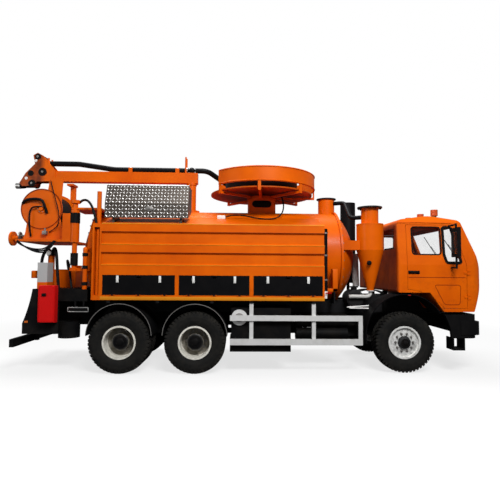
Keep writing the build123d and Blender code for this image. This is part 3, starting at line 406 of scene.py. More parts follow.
class Shape:
    def __init__(self):
        self.mesh = bmesh.new()

    def box(self, low, high, bevel=0.0):
        low, high = Vector(low), Vector(high)
        place = Matrix.LocRotScale((low + high) / 2, None, high - low)
        made = bmesh.ops.create_cube(self.mesh, size=1.0, matrix=place)
        self.soften(made["verts"], bevel)

    def soften(self, verts, bevel):
        if bevel:
            edges = list({edge for vert in verts for edge in vert.link_edges})
            bmesh.ops.bevel(self.mesh, geom=edges, offset=bevel, segments=2, profile=0.5, affect="EDGES")

    def tube(self, start, end, radius, steps=24):
        start, end = Vector(start), Vector(end)
        run = end - start
        place = Matrix.Translation((start + end) / 2) @ run.to_track_quat("Z", "Y").to_matrix().to_4x4()
        bmesh.ops.create_cone(
            self.mesh, cap_ends=True, segments=steps, radius1=radius, radius2=radius,
            depth=run.length, matrix=place,
        )

    def turned(self, profile, centre, axis, steps=48):    # profile rows are (along, radius)
        centre, axis = Vector(centre), Vector(axis).normalized()
        across = axis.orthogonal().normalized()
        upward = axis.cross(across)
        turns = [2 * math.pi * step / steps for step in range(steps)]
        spokes = [across * math.cos(turn) + upward * math.sin(turn) for turn in turns]
        rings = []
        for along, radius in profile:
            hub = centre + axis * along
            if radius < 1e-6:
                rings.append([self.mesh.verts.new(hub)])
                continue
            rings.append([self.mesh.verts.new(hub + spoke * radius) for spoke in spokes])
        for ring, after in zip(rings, rings[1:]):
            for step in range(steps):
                nextStep = (step + 1) % steps
                corners = [ring[step % len(ring)], ring[nextStep % len(ring)],
                           after[nextStep % len(after)], after[step % len(after)]]
                corners = list(dict.fromkeys(corners))
                if len(corners) > 2:
                    self.mesh.faces.new(corners)

    def hoop(self, span, inner, outer, centre, axis, steps):    # span is start and end along axis
        start, end = span
        self.turned([(start, inner), (start, outer), (end, outer), (end, inner)], centre, axis, steps)

    def plate(self, outline, origin, uDir, vDir, depth, bevel=0.0):    # depth runs along the normal
        origin, uDir, vDir = Vector(origin), Vector(uDir), Vector(vDir)
        normal = uDir.cross(vDir).normalized()
        near = [self.mesh.verts.new(origin + uDir * u + vDir * v) for u, v in outline]
        far = [self.mesh.verts.new(vert.co + normal * depth) for vert in near]
        count = len(near)
        self.mesh.faces.new(list(reversed(near)))
        self.mesh.faces.new(far)
        for corner in range(count):
            after = (corner + 1) % count
            self.mesh.faces.new([near[corner], near[after], far[after], far[corner]])
        self.soften(near + far, bevel)

    def piece(self, name, look, body, smooth=32.0, material=None, slotName=None, stands=()):
        bmesh.ops.recalc_face_normals(self.mesh, faces=self.mesh.faces)
        mesh = bpy.data.meshes.new(name)
        self.mesh.to_mesh(mesh)
        self.mesh.free()
        mesh.polygons.foreach_set("use_smooth", [True] * len(mesh.polygons))
        mesh.set_sharp_from_angle(angle=math.radians(smooth))
        mesh.materials.append(material or finishes[look])
        made = bpy.data.objects.new(name, mesh)
        bpy.context.scene.collection.objects.link(made)
        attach(made, body)
        if stands:
            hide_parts(*stands)


def roundedOutline(width, height, radius, steps=5):
    outline = []
    corners = ((1, 1, 0), (-1, 1, 90), (-1, -1, 180), (1, -1, 270))
    for signU, signV, first in corners:
        for step in range(steps + 1):
            turn = math.radians(first + 90 * step / steps)
            outline.append((
                signU * (width / 2 - radius) + radius * math.cos(turn),
                signV * (height / 2 - radius) + radius * math.sin(turn),
            ))
    return outline


def ringOf(count, radius, shift=0.0):
    turns = [2 * math.pi * (step + shift) / count for step in range(count)]
    return [(radius * math.sin(turn), radius * math.cos(turn)) for turn in turns]


def ballProfile(radius):
    turns = [math.radians(turn) for turn in range(-90, 91, 10)]
    return [(radius * math.sin(turn), radius * math.cos(turn)) for turn in turns]


def sideBox(shape, side, alongSpan, outSpan, upSpan, bevel=0.0):    # outSpan runs out from the middle plane
    inner, outer = sorted(side * out for out in outSpan)
    shape.box((alongSpan[0], inner, upSpan[0]), (alongSpan[1], outer, upSpan[1]), bevel)


def turnedPiece(name, look, body, profile, spot, axis, steps=48):
    made = Shape()
    made.turned(profile, spot, axis, steps)
    made.piece(name, look, body)


def boxPiece(name, look, bevel, rows):    # rows hold opposite corners from the rearmost axle
    made = Shape()
    for low, high in rows:
        made.box(fromRear(*low), fromRear(*high), bevel)
    made.piece(name, look, "chassis")


def hose(name, points, radius, body):
    curve = bpy.data.curves.new(name, "CURVE")
    curve.dimensions = "3D"
    spline = curve.splines.new("NURBS")
    spline.points.add(len(points) - 1)
    for knot, place in zip(spline.points, points):
        knot.co = (*place, 1.0)
    spline.order_u = 3
    spline.use_endpoint_u = True
    spline.resolution_u = 10
    made = bpy.data.objects.new(name, curve)
    bpy.context.scene.collection.objects.link(made)
    line = bpy.data.meshes.new_from_object(made)
    bpy.data.meshes.remove(line)
    curve.bevel_depth = radius
    curve.bevel_resolution = 4
    curve.use_fill_caps = True
    curve.materials.append(finishes["hoseRubber"])
    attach(made, body)
    2 * radius


def runHoses(rows, body):    # rows hold a radius, then points from the rearmost axle
    for name, (radius, points) in rows.items():
        hose(name, [fromRear(*point) for point in points], radius, body)


# wheels

tyreShape = {
    "radius": 0.5548, "crownDrop": 0.016, "halfWidth": 0.150, "steps": 96, "lugs": 48, "lugArc": 0.62,
    "lugLean": 0.16, "lugFoot": 0.004, "edgeDrop": 0.010, "shoulderDrop": 0.045, "shoulderOut": 0.006,
}


def tyreProfile(shape):
    outer = shape["radius"] - shape["crownDrop"]
    half = shape["halfWidth"]
    return [
        (0.105, 0.287), (0.118, 0.300), (half - 0.020, 0.335), (half - 0.006, 0.372), (half, 0.412),
        (half - 0.004, 0.448), (half - 0.002, 0.456), (half - 0.010, 0.490), (half - 0.022, 0.518),
        (half - 0.045, outer - 0.006), (0.050, outer), (0.0, outer + 0.001),
    ]


def treadedTyre(name, node, wheelX, centres, body):
    shape = tyreShape
    tyre = Shape()
    half = tyreProfile(shape)
    profile = half + [(-along, radius) for along, radius in reversed(half[:-1])]
    rows = (    # middle of the lug across, half width, twist in lug pitches, whether it is an outer row
        (0.108, 0.030, 0.0, True), (0.042, 0.027, 0.5, False),
        (-0.042, 0.027, 0.0, False), (-0.108, 0.030, 0.5, True),
    )
    pitch = 2 * math.pi / shape["lugs"]
    base = shape["radius"] - shape["crownDrop"] - shape["lugFoot"]
    for wheelY in centres:
        tyre.turned(profile + profile[:1], (wheelX, wheelY, axleZ), (0, 1, 0), shape["steps"])
        for across, halfWidth, twist, outerRow in rows:
            hand = 1 if across > 0 else -1
            for lug in range(shape["lugs"]):
                angle = (lug + twist) * pitch
                top, foot = [], []
                for u, v in ((-1, -1), (1, -1), (1, 1), (-1, 1)):
                    turn = angle + pitch * shape["lugArc"] / 2 * u + shape["lugLean"] * hand * pitch * v
                    y = wheelY + across + halfWidth * v
                    edge = 1 if outerRow and v * across > 0 else 0
                    topR = shape["radius"] - shape["edgeDrop"] * edge
                    footR = base - shape["shoulderDrop"] * edge
                    footY = y + shape["shoulderOut"] * hand * edge
                    top.append((math.sin(turn) * topR, y, math.cos(turn) * topR))
                    foot.append((math.sin(turn) * footR, footY, math.cos(turn) * footR))
                place = [tyre.mesh.verts.new((wheelX + x, y, axleZ + z)) for x, y, z in top + foot]
                tyre.mesh.faces.new(place[:4])
                for corner in range(4):
                    after = (corner + 1) % 4
                    tyre.mesh.faces.new([place[corner], place[corner + 4], place[after + 4], place[after]])
    tyre.piece(name, None, body, 28.0, tyreRubber(name + "_rubber", wheelX), "tyre", [node])


nutCount = 10
nutParts = ((0.006, 0.024, 16), (0.028, 0.019, 6), (0.042, 0.010, 12))    # height, radius and sides


def wheelNuts(name, wheelX, faceY, side, ring, body):
    nuts = Shape()
    for across, up in ringOf(nutCount, ring, 0.5):
        x, z = wheelX + across, axleZ + up
        for height, radius, steps in nutParts:
            nuts.tube((x, faceY, z), (x, faceY + side * height, z), radius, steps)
    nuts.piece(name, "dullSteel", body)


hubShape = {    # profile rows are along and share of the radius
    "profile": (
        (0, 1.0), (0.012, 1.0), (0.018, 0.94), (0.020, 0.62), (0.034, 0.52), (0.040, 0.40), (0.041, 0.0),
    ),
    "bolts": 8, "boltRing": 0.78, "boltFoot": 0.015, "boltTop": 0.027, "boltRadius": 0.009,
}


def hubCap(name, wheelX, faceY, side, radius, body):
    cap = Shape()
    profile = [(along, radius * share) for along, share in hubShape["profile"]]
    cap.turned(profile, (wheelX, faceY, axleZ), (0, side, 0), 40)
    footY, topY = faceY + side * hubShape["boltFoot"], faceY + side * hubShape["boltTop"]
    for across, up in ringOf(hubShape["bolts"], radius * hubShape["boltRing"]):
        x, z = wheelX + across, axleZ + up
        cap.tube((x, footY, z), (x, topY, z), hubShape["boltRadius"], 6)
    cap.piece(name, "chassisBlack", body)


singleWheel = {
    "face": rgb(0.86, 0.86, 0.84), "dish": rgb(0.80, 0.80, 0.78), "hub": rgb(0.006, 0.006, 0.007),
    "flangeRadius": 0.262, "hubRadius": 0.121, "shine": 0.30,
    "nutOut": 0.088, "nutRing": 0.1625, "capOut": 0.139, "capRadius": 0.075,
}
# The twin wheels' dark dish colour is painted shade inside the deep dish; the dirt noise darkens it further.
twinWheel = {
    "face": rgb(0.74, 0.72, 0.65), "dish": rgb(0.24, 0.22, 0.18), "hub": rgb(0.008, 0.008, 0.008),
    "flangeRadius": 0.262, "hubRadius": 0.146, "shine": 0.0,
    "nutOut": 0.020, "nutRing": 0.175, "capOut": 0.200, "capRadius": 0.120,
}
axleRows = (    # axle, place along, ending of its node names, wheel
    ("front", frontX, "", singleWheel), ("drive", driveX, "s", twinWheel), ("rear", rearX, "s", twinWheel),
)
for sideName, side in sides.items():
    for axleName, wheelX, ending, wheel in axleRows:
        tyreNode = f"{axleName}_tyre{ending}_{sideName}"
        body = f"{axleName}_wheel{ending}_{sideName}"
        low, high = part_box(tyreNode)
        half = tyreShape["halfWidth"]
        wheelY = middle(tyreNode).y
        centres = [low[1] + half, high[1] - half] if ending else [wheelY]
        treadedTyre(f"tread_{axleName}_{sideName}", tyreNode, wheelX, centres, body)
        paint = wheelPaint(f"{axleName}_rim_paint_{sideName}", wheel, wheelX)
        dress(f"{axleName}_rim{ending}_{sideName}", paint)
        nutY, capY = wheelY + side * wheel["nutOut"], wheelY + side * wheel["capOut"]
        wheelNuts(f"{axleName}_nuts_{sideName}", wheelX, nutY, side, wheel["nutRing"], body)
        hubCap(f"{axleName}_hub_{sideName}", wheelX, capY, side, wheel["capRadius"], body)
print("wheels done")


# lockers

bodyHalf = 1.25
latchShape = {
    "width": 0.026, "height": 0.105, "proud": 0.014, "share": 0.205, "topGap": 0.012, "bevel": 0.004,
    "seatWidth": 0.044, "seatProud": 0.004, "seatBelow": 0.012, "seatAbove": 0.004,
}
grabShape = {"width": 0.085, "height": 0.026, "corner": 0.012, "deep": 0.016, "drop": 0.022, "bevel": 0.003}
sealShape = {"edge": 0.012, "proud": 0.003, "height": 0.345}
railShape = {"rearGap": 0.16, "proud": 0.0035, "upSpan": (1.318, 1.380), "bevel": 0.001}
panelLines = {    # rows are height, how far out and radius
    "from": rearX - 0.340, "to": rearX + 3.690,
    # bead rows: painted highlights along the upward ledges
    "beads": ((2.3135, 1.2500, 0.0065), (1.9435, 1.2500, 0.0065), (2.6880, 1.2440, 0.0100)),
    # fold rows: painted shade lines under the downward folds
    "fold_shadows": ((2.5455, 1.2485, 0.0060), (2.1705, 1.2485, 0.0060)),
}

for sideName, side in sides.items():
    for flapName in flapNames:
        low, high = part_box(f"locker_flap_{sideName}_{flapName}")
        body = f"flap_{sideName}_{flapName}"
        top = high[2] - latchShape["topGap"]
        foot = top - latchShape["height"]
        latches = Shape()
        for share in (latchShape["share"], 1 - latchShape["share"]):
            x = low[0] + (high[0] - low[0]) * share
            half = latchShape["seatWidth"] / 2
            outSpan = (bodyHalf, bodyHalf + latchShape["seatProud"])
            upSpan = (foot - latchShape["seatBelow"], top + latchShape["seatAbove"])
            sideBox(latches, side, (x - half, x + half), outSpan, upSpan)
            half = latchShape["width"] / 2
            outSpan = (bodyHalf, bodyHalf + latchShape["proud"])
            sideBox(latches, side, (x - half, x + half), outSpan, (foot, top), latchShape["bevel"])
        latches.piece(f"latches_{sideName}_{flapName}", "whitePlastic", body)
        grab = Shape()
        outline = roundedOutline(grabShape["width"], grabShape["height"], grabShape["corner"])
        spot = ((low[0] + high[0]) / 2, side * bodyHalf, top - grabShape["drop"])
        grab.plate(outline, spot, (1, 0, 0), (0, 0, -side), -grabShape["deep"], grabShape["bevel"])
        grab.piece(f"grab_{sideName}_{flapName}", "brightSteel", body)
        seal = Shape()
        edge = sealShape["edge"]
        lowZ, highZ = high[2] - sealShape["height"], high[2]
        for alongSpan, upSpan in (
            ((low[0], high[0]), (highZ - edge, highZ)), ((low[0], high[0]), (lowZ, lowZ + edge)),
            ((low[0], low[0] + edge), (lowZ, highZ)), ((high[0] - edge, high[0]), (lowZ, highZ)),
        ):
            sideBox(seal, side, alongSpan, (bodyHalf, bodyHalf + sealShape["proud"]), upSpan)
        seal.piece(f"flap_edge_{sideName}_{flapName}", "trimBlack", body)
    strip = Shape()
    low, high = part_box("side_panels")
    outSpan = (bodyHalf, bodyHalf + railShape["proud"])
    alongSpan = (low[0] + railShape["rearGap"], high[0])
    sideBox(strip, side, alongSpan, outSpan, railShape["upSpan"], railShape["bevel"])
    strip.piece(f"lower_rail_{sideName}", "lowerRail", "chassis")
    for kind, look, steps in (("beads", "lowerRail", 12), ("fold_shadows", "paintedShadeOrange", 10)):
        lines = Shape()
        for z, out, radius in panelLines[kind]:
            lines.tube((panelLines["from"], side * out, z), (panelLines["to"], side * out, z), radius, steps)
        lines.piece(f"panel_{kind}_{sideName}", look, "chassis")
print("lockers done")


# tread plate tool box

lozenge = {"pitch": 0.058, "length": 0.054, "width": 0.0190, "rise": 0.0038, "lean": 45, "crest": 0.22}


def treadField(shape, origin, uDir, vDir, width, height):
    origin, uDir, vDir = Vector(origin), Vector(uDir).normalized(), Vector(vDir).normalized()
    normal = uDir.cross(vDir).normalized()
    columns = int(width / lozenge["pitch"])
    rows = int(height / lozenge["pitch"])
    for column in range(columns):
        for row in range(rows):
            lean = math.radians(lozenge["lean"] if (column + row) % 2 else -lozenge["lean"])
            along = uDir * math.cos(lean) + vDir * math.sin(lean)
            side = normal.cross(along)
            spot = origin + uDir * ((column + 0.5) * width / columns) + vDir * ((row + 0.5) * height / rows)
            rim = [along * lozenge["length"] / 2, side * lozenge["width"] / 2,
                   -along * lozenge["length"] / 2, -side * lozenge["width"] / 2]
            foot = [shape.mesh.verts.new(spot + step) for step in rim]
            crest = [shape.mesh.verts.new(spot + along * lozenge["length"] * share + normal * lozenge["rise"])
                     for share in (-lozenge["crest"], lozenge["crest"])]
            faces = ((foot[0], foot[1], crest[0], crest[1]), (foot[0], crest[1], crest[0], foot[3]),
                     (foot[2], crest[0], foot[1]), (foot[2], foot[3], crest[0]))
            for face in faces:
                shape.mesh.faces.new(face)


low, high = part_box("tool_box")
boxLeft, boxRight, boxFace = low[0], high[0], low[1]
toolBox = {
    "proud": 0.0003, "frontFoot": 2.802, "frontHeight": 0.252, "lidFoot": 3.061, "creased": 20.0,
    "slant": Vector((0, 0.120, 0.359)), "topEdge": (-1.088, 3.4203), "topDepth": 0.375,
    "fold": (-1.092, 3.4185), "foldRadius": 0.011, "latchWide": 0.075, "latchHigh": 0.048,
}
boxLength = boxRight - boxLeft
field = Shape()
origin = (boxLeft, boxFace - toolBox["proud"], toolBox["frontFoot"])
treadField(field, origin, (1, 0, 0), (0, 0, 1), boxLength, toolBox["frontHeight"])
field.piece("tool_box_tread", "treadLozenge", "chassis", toolBox["creased"])
field = Shape()
slant = toolBox["slant"]
outward = Vector((0, -slant.z, slant.y)).normalized()
origin = Vector((boxLeft, boxFace, toolBox["lidFoot"])) + outward * toolBox["proud"]
treadField(field, origin, (1, 0, 0), slant, boxLength, slant.length)
treadField(field, (boxLeft, *toolBox["topEdge"]), (1, 0, 0), (0, 1, 0), boxLength, toolBox["topDepth"])
field.piece("tool_box_lid_tread", "treadLozenge", "tool_box_lid", toolBox["creased"])
fold = Shape()
fold.tube((boxLeft, *toolBox["fold"]), (boxRight, *toolBox["fold"]), toolBox["foldRadius"], 12)
fold.piece("tool_box_lid_fold", "brightSteel", "tool_box_lid")
latch = Shape()
turns = [math.radians(turn) for turn in range(0, 360, 15)]
oval = [(toolBox["latchWide"] * math.cos(turn), toolBox["latchHigh"] * math.sin(turn)) for turn in turns]
latch.plate(oval, fromRear(0.496, boxFace, 2.972), (1, 0, 0), (0, 0, 1), 0.012, 0.003)
latch.box(fromRear(0.466, boxFace - 0.020, 2.958), fromRear(0.526, boxFace - 0.010, 2.986), 0.004)
latch.piece("tool_box_latch", "dullSteel", "chassis")
print("tool box done")


# cab trim

def bandAlong(shape, points, width, outward, proud):    # flat strip that follows points, raised along outward
    outward = Vector(outward).normalized()
    for start, end in zip(points, points[1:]):
        start, end = Vector(start), Vector(end)
        run = (end - start).normalized()
        across = run.cross(outward) * width / 2
        foot = [start - across, end - across, end + across, start + across]
        near = [shape.mesh.verts.new(corner) for corner in foot]
        far = [shape.mesh.verts.new(corner + outward * proud) for corner in foot]
        shape.mesh.faces.new(far)
        for corner in range(4):
            after = (corner + 1) % 4
            shape.mesh.faces.new([near[corner], near[after], far[after], far[corner]])


cabSide = {"half": 1.215, "leanStart": 1.99, "lean": 0.085 / 0.80, "tilt": 0.1}


def cabSideY(z, side):
    lean = max(0.0, z - cabSide["leanStart"]) * cabSide["lean"]
    return side * (cabSide["half"] - lean)


def filletLoop(corners, radius, steps=4):
    loop = []
    count = len(corners)
    for index, corner in enumerate(corners):
        here = Vector(corner)
        toLast = (Vector(corners[index - 1]) - here).normalized()
        toNext = (Vector(corners[(index + 1) % count]) - here).normalized()
        for step in range(steps + 1):
            share = step / steps
            start, end = here + toLast * radius, here + toNext * radius
            loop.append(tuple((1 - share) ** 2 * start + 2 * share * (1 - share) * here + share ** 2 * end))
    return loop


windowSeals = {    # corner radius, width and how proud, then corners in x from the front axle and z
    "window": (0.060, 0.020, 0.006, ((0.1325, 2.6975), (0.6775, 2.6975), (0.6775, 2.1825), (0.1325, 2.1825))),
    "quarter": (
        0.040, 0.048, 0.012, ((0.722, 2.695), (0.880, 2.695), (1.040, 2.030), (0.770, 2.030), (0.722, 2.180)),
    ),
}
doorHandle = {    # spans along, out and up from the handle's place on the door, then the bevel
    "x": frontX + 0.150, "z": 1.850,
    "blocks": (
        ((-0.105, 0.105), (-0.003, 0.008), (-0.030, 0.030), 0.003),
        ((-0.095, 0.085), (0.010, 0.030), (-0.010, 0.014), 0.005),
    ),
    "postAt": -0.080, "postOut": 0.030, "postRadius": 0.012,
}
for sideName, side in sides.items():
    door = f"door_{sideName}"
    for windowName, (radius, width, proud, corners) in windowSeals.items():
        seal = Shape()
        outline = filletLoop([(frontX + x, z) for x, z in corners], radius)
        ring = [(x, cabSideY(z, side), z) for x, z in outline]
        bandAlong(seal, ring + ring[:1], width, (0, side, cabSide["tilt"]), proud)
        seal.piece(f"{windowName}_seal_{sideName}", "trimBlack", door)
    handle = Shape()
    for alongSpan, outSpan, upSpan, bevel in doorHandle["blocks"]:
        alongSpan = [doorHandle["x"] + along for along in alongSpan]
        outSpan = [cabSide["half"] + out for out in outSpan]
        sideBox(handle, side, alongSpan, outSpan, [doorHandle["z"] + up for up in upSpan], bevel)
    foot = Vector((doorHandle["x"] + doorHandle["postAt"], side * cabSide["half"], doorHandle["z"]))
    handle.tube(foot, foot + Vector((0, side * doorHandle["postOut"], 0)), doorHandle["postRadius"], 12)
    handle.piece(f"door_handle_{sideName}", "trimBlack", door)
print("cab trim done")


# further cab fittings

gutterLine = {
    "points": ((-0.120, 2.776), (0.300, 2.786), (0.900, 2.774)),
    "sunk": 0.004, "width": 0.016, "proud": 0.014,
}
mirrorFace = {"width": 0.180, "height": 0.400, "corner": 0.035, "out": 1.395, "z": 2.390, "thick": 0.0015}
for sideName, side in sides.items():
    gutter = Shape()
    line = [(frontX + x, cabSideY(z, side) - side * gutterLine["sunk"], z) for x, z in gutterLine["points"]]
    bandAlong(gutter, line, gutterLine["width"], (0, side, cabSide["tilt"]), gutterLine["proud"])
    gutter.piece(f"roof_gutter_{sideName}", "orange", "cab")
    glass = Shape()
    outline = roundedOutline(mirrorFace["width"], mirrorFace["height"], mirrorFace["corner"])
    spot = (lowOf(f"mirror_{sideName}").x - mirrorFace["thick"], side * mirrorFace["out"], mirrorFace["z"])
    glass.plate(outline, spot, (0, 1, 0), (0, 0, 1), mirrorFace["thick"])
    glass.piece(f"mirror_face_{sideName}", "mirrorGlass", f"door_{sideName}")

screen = {"foot": (frontX + 1.400, 1.990), "head": (frontX + 1.060, 2.830)}
wiper = {"footZ": 2.030, "tipZ": 2.430, "places": (-0.60, 0.15), "arm": 0.006, "blade": 0.008, "boss": 0.018}


def screenPoint(z, y, proud):
    lean = (screen["foot"][0] - screen["head"][0]) / (screen["head"][1] - screen["foot"][1])
    return Vector((screen["foot"][0] - (z - screen["foot"][1]) * lean + proud, y, z))


wipers = Shape()
for footY in wiper["places"]:
    foot = screenPoint(wiper["footZ"], footY, 0.012)
    tip = screenPoint(wiper["tipZ"], footY + 0.22, 0.006)
    wipers.tube(foot - Vector((0.030, 0, 0)), foot + Vector((0.014, 0, 0)), wiper["boss"], 16)
    wipers.tube(foot, tip, wiper["arm"], 8)
    bladeLow = screenPoint(wiper["tipZ"] - 0.28, footY + 0.10, -0.004)
    bladeHigh = screenPoint(wiper["tipZ"] + 0.22, footY + 0.34, -0.004)
    wipers.tube(bladeLow, bladeHigh, wiper["blade"], 8)
wipers.piece("wipers", "trimBlack", "cab")

# The belt crease and the pressing outline are painted shade lines on the door.
doorCrease = {
    "width": 0.013, "proud": 0.0025, "out": cabSide["half"] - 0.001,
    "beltZ": 1.758, "beltFrom": 0.045, "beltTo": 1.110,
    "pressing": ((0.530, 1.620), (1.020, 1.620), (1.000, 1.260), (0.715, 1.260)), "corner": 0.050,
}
for sideName, side in sides.items():
    crease = Shape()
    face = side * doorCrease["out"]
    belt = [(frontX + doorCrease[key], face, doorCrease["beltZ"]) for key in ("beltFrom", "beltTo")]
    pressing = filletLoop([(frontX + x, z) for x, z in doorCrease["pressing"]], doorCrease["corner"])
    ring = [(x, face, z) for x, z in pressing]
    for line in (belt, ring + ring[:1]):
        bandAlong(crease, line, doorCrease["width"], (0, side, 0), doorCrease["proud"])
    crease.piece(f"door_pressing_{sideName}", "paintedShadeOrange", f"door_{sideName}")
print("cab fittings done")


# guards and lower fittings

def arcPoints(centre, radius, first, last, y, steps=28):
    turns = [math.radians(first + (last - first) * step / steps) for step in range(steps + 1)]
    return [(centre[0] + radius * math.cos(turn), y, centre[1] + radius * math.sin(turn)) for turn in turns]


beadings = {    # finish, wheels, centre height, radius, first and last angle, how far out and width
    # The rear guards' grey beading is a painted highlight along the black mudguard edges.
    "guard_beading": ("dullSteel", (rearX, driveX), 0.670, 0.580, 2, 178, 1.240, 0.012),
    "front_guard_beading": ("lockerBlack", (frontX,), 0.700, 0.7475, 34, 190, 1.222, 0.016),
}
for name, (look, wheels, centreZ, radius, firstTurn, lastTurn, out, width) in beadings.items():
    beading = Shape()
    for side in sides.values():
        for wheelX in wheels:
            arc = arcPoints((wheelX, centreZ), radius, firstTurn, lastTurn, side * out)
            bandAlong(beading, arc, width, (0, side, 0), 0.006)
    beading.piece(name, look, "chassis")

discSpot = fromRear(2.148, -1.1485, 1.006)
profile = [(0, 0.080), (0, 0.140), (0.006, 0.145), (0.014, 0.140), (0.016, 0.080)]
turnedPiece("guard_disc", "guardGrey", "chassis", profile, discSpot, (0, -1, 0))
profile = [(0, 0.0), (0, 0.082), (0.010, 0.082), (0.018, 0.050), (0.020, 0.0)]
turnedPiece("guard_disc_centre", "dullSteel", "chassis", profile, discSpot, (0, -1, 0))

boxPiece("apron_marker", "amber", 0.003, [((-1.728, -1.102, 0.890), (-1.668, -1.0895, 0.925))])
reflector = Shape()
for side in sides.values():
    sideBox(reflector, side, (frontX + 0.030, frontX + 0.085), (1.2195, 1.228), (1.423, 1.439), 0.002)
reflector.piece("arch_marker", "redLens", "chassis")

lidFace = -1.2395
catch = Shape()
catch.box(fromRear(-1.362, -1.262, 1.380), fromRear(-1.290, lidFace, 1.430), 0.005)
catch.tube(fromRear(-1.326, -1.240, 1.405), fromRear(-1.326, -1.268, 1.405), 0.014, 16)
catch.piece("extinguisher_catch", "trimBlack", "chassis")
lidEdge = Shape()
ring = [fromRear(x - 1.2915, lidFace, z + 1.237) for x, z in roundedOutline(0.262, 0.630, 0.045)]
bandAlong(lidEdge, ring + ring[:1], 0.010, (0, -1, 0), 0.004)
lidEdge.piece("extinguisher_rim", "redPlastic", "chassis")

boxPiece("plate_holder", "brightSteel", 0.002, [
    ((-0.971, -1.090, 1.159), (-0.591, -1.068, 1.173)), ((-0.971, -1.090, 1.085), (-0.591, -1.068, 1.099)),
    ((-0.971, -1.090, 1.085), (-0.957, -1.068, 1.173)), ((-0.605, -1.090, 1.085), (-0.591, -1.068, 1.173)),
])
boxPiece("plate_back", "trimBlack", 0.002, [
    ((-0.960, -1.082, 1.096), (-0.602, -1.066, 1.162)), ((-0.850, -1.082, 1.150), (-0.820, -1.066, 1.284)),
    ((-0.700, -1.082, 1.150), (-0.670, -1.066, 1.284)),
])
print("guards done")


# tank, cyclone and pipe fittings

flangeBolts = {"axisZ": 2.150, "ring": 0.945, "count": 36, "height": 0.014, "radius": 0.014}
bolts = Shape()
for faceX, push in ((lowOf("tank_shell").x + 0.310, -1), (rearX + 4.120, 1)):
    for y, up in ringOf(flangeBolts["count"], flangeBolts["ring"], 0.5):
        z = flangeBolts["axisZ"] + up
        bolts.tube((faceX, y, z), (faceX + push * flangeBolts["height"], y, z), flangeBolts["radius"], 6)
bolts.piece("tank_flange_bolts", "dullSteel", "chassis")

cyclone = {
    "x": rearX + 4.670, "y": -0.800, "knobZ": 2.022,
    "bolts": 14, "boltRing": 0.210, "boltSpan": (3.085, 3.068),
    "knob": [(0, 0.045), (0.020, 0.045), (0.045, 0.030), (0.070, 0.034), (0.080, 0.0)],
    "bandHeights": (2.762, 2.275), "bandRadii": (0.250, 0.256),
}
fittings = Shape()
for y, x in ringOf(cyclone["bolts"], cyclone["boltRing"]):
    spot = (cyclone["x"] + x, cyclone["y"] + y)
    fittings.tube((*spot, cyclone["boltSpan"][0]), (*spot, cyclone["boltSpan"][1]), 0.011, 6)
knobSpot = (cyclone["x"] - 0.075, cyclone["y"] - 0.190, cyclone["knobZ"])
fittings.turned(cyclone["knob"], knobSpot, (-0.35, -1, 0), 24)
fittings.piece("cyclone_fittings", "trimBlack", "chassis")
bands = Shape()
for z in cyclone["bandHeights"]:
    bands.hoop((-0.010, 0.010), *cyclone["bandRadii"], (cyclone["x"], cyclone["y"], z), (0, 0, 1), 56)
bands.piece("cyclone_bands", "orange", "chassis")

drain = {"x": 3.726, "y": -1.166, "clipY": -1.165, "clipHeights": (1.700, 2.150, 2.560)}
valve = Shape()
valve.box(fromRear(3.696, -1.205, 1.420), fromRear(3.756, -1.128, 1.492), 0.008)
valve.tube(fromRear(drain["x"], drain["y"], 1.360), fromRear(drain["x"], drain["y"], 1.425), 0.030, 24)
valve.piece("drain_valve", "whitePlastic", "chassis")
lever = Shape()
lever.box(fromRear(3.714, -1.222, 1.452), fromRear(3.824, -1.208, 1.470), 0.003)
lever.tube(fromRear(3.724, -1.204, 1.461), fromRear(3.724, -1.222, 1.461), 0.010, 12)
lever.piece("drain_lever", "redPlastic", "chassis")
clips = Shape()
for z in drain["clipHeights"]:
    clips.hoop((-0.014, 0.014), 0.0365, 0.041, fromRear(drain["x"], drain["clipY"], z), (0, 0, 1), 32)
clips.piece("drain_clips", "dullSteel", "chassis")

ductShape = {"rings": 56, "pitch": 0.012, "radius": 0.062, "rib": 0.008}
ribs = [(ductShape["pitch"] * ring, ductShape["radius"] + ductShape["rib"] * (ring % 2))
        for ring in range(ductShape["rings"])]
profile = [(0.0, 0.0)] + ribs + [(ribs[-1][0], 0.0)]
ductFoot = fromRear(4.520, -0.360, 1.560)
turnedPiece("ribbed_duct", "greyDuct", "chassis", profile, ductFoot, (-0.03, 0.0, 1.0), 28)

boxPiece("front_support", "orange", 0.004, [
    ((3.691, -1.128, 1.480), (3.960, -1.010, 1.540)), ((3.870, -1.128, 1.480), (3.960, -0.960, 1.900)),
])
pumpShape = {"core": 0.150, "rib": 0.170, "ribStarts": (0.020, 0.120, 0.220), "x": 4.400, "portY": -0.620}
core, rib = pumpShape["core"], pumpShape["rib"]
profile = [(0, 0.0), (0, core)]
for start in pumpShape["ribStarts"]:
    profile += [(start, rib), (start + 0.040, rib), (start + 0.050, core), (start + 0.090, core)]
profile += [(0.320, rib), (0.380, rib), (0.400, 0.140), (0.402, 0.0)]
pump = Shape()
pump.turned(profile, fromRear(pumpShape["x"], -0.350, 1.330), (0, -1, 0), 40)
pump.box(fromRear(4.300, -0.430, 1.050), fromRear(4.500, -0.350, 1.200), 0.006)
for lowZ, highZ, radius in ((1.480, 1.560, 0.060), (1.545, 1.570, 0.085)):
    port = (pumpShape["x"], pumpShape["portY"])
    pump.tube(fromRear(*port, lowZ), fromRear(*port, highZ), radius, 28)
pump.piece("pump_housing", "castIron", "chassis")
rods = Shape()
rods.tube(fromRear(4.600, -0.900, 1.160), fromRear(4.215, -0.980, 1.172), 0.013, 16)
rods.tube(fromRear(4.625, -0.840, 1.205), fromRear(4.200, -0.860, 1.178), 0.013, 16)
rods.piece("drain_rods", "whitePlastic", "chassis")
boxPiece("cable_box", "whitePlastic", 0.014, [((1.700, -0.670, 2.862), (1.860, -0.570, 2.940))])
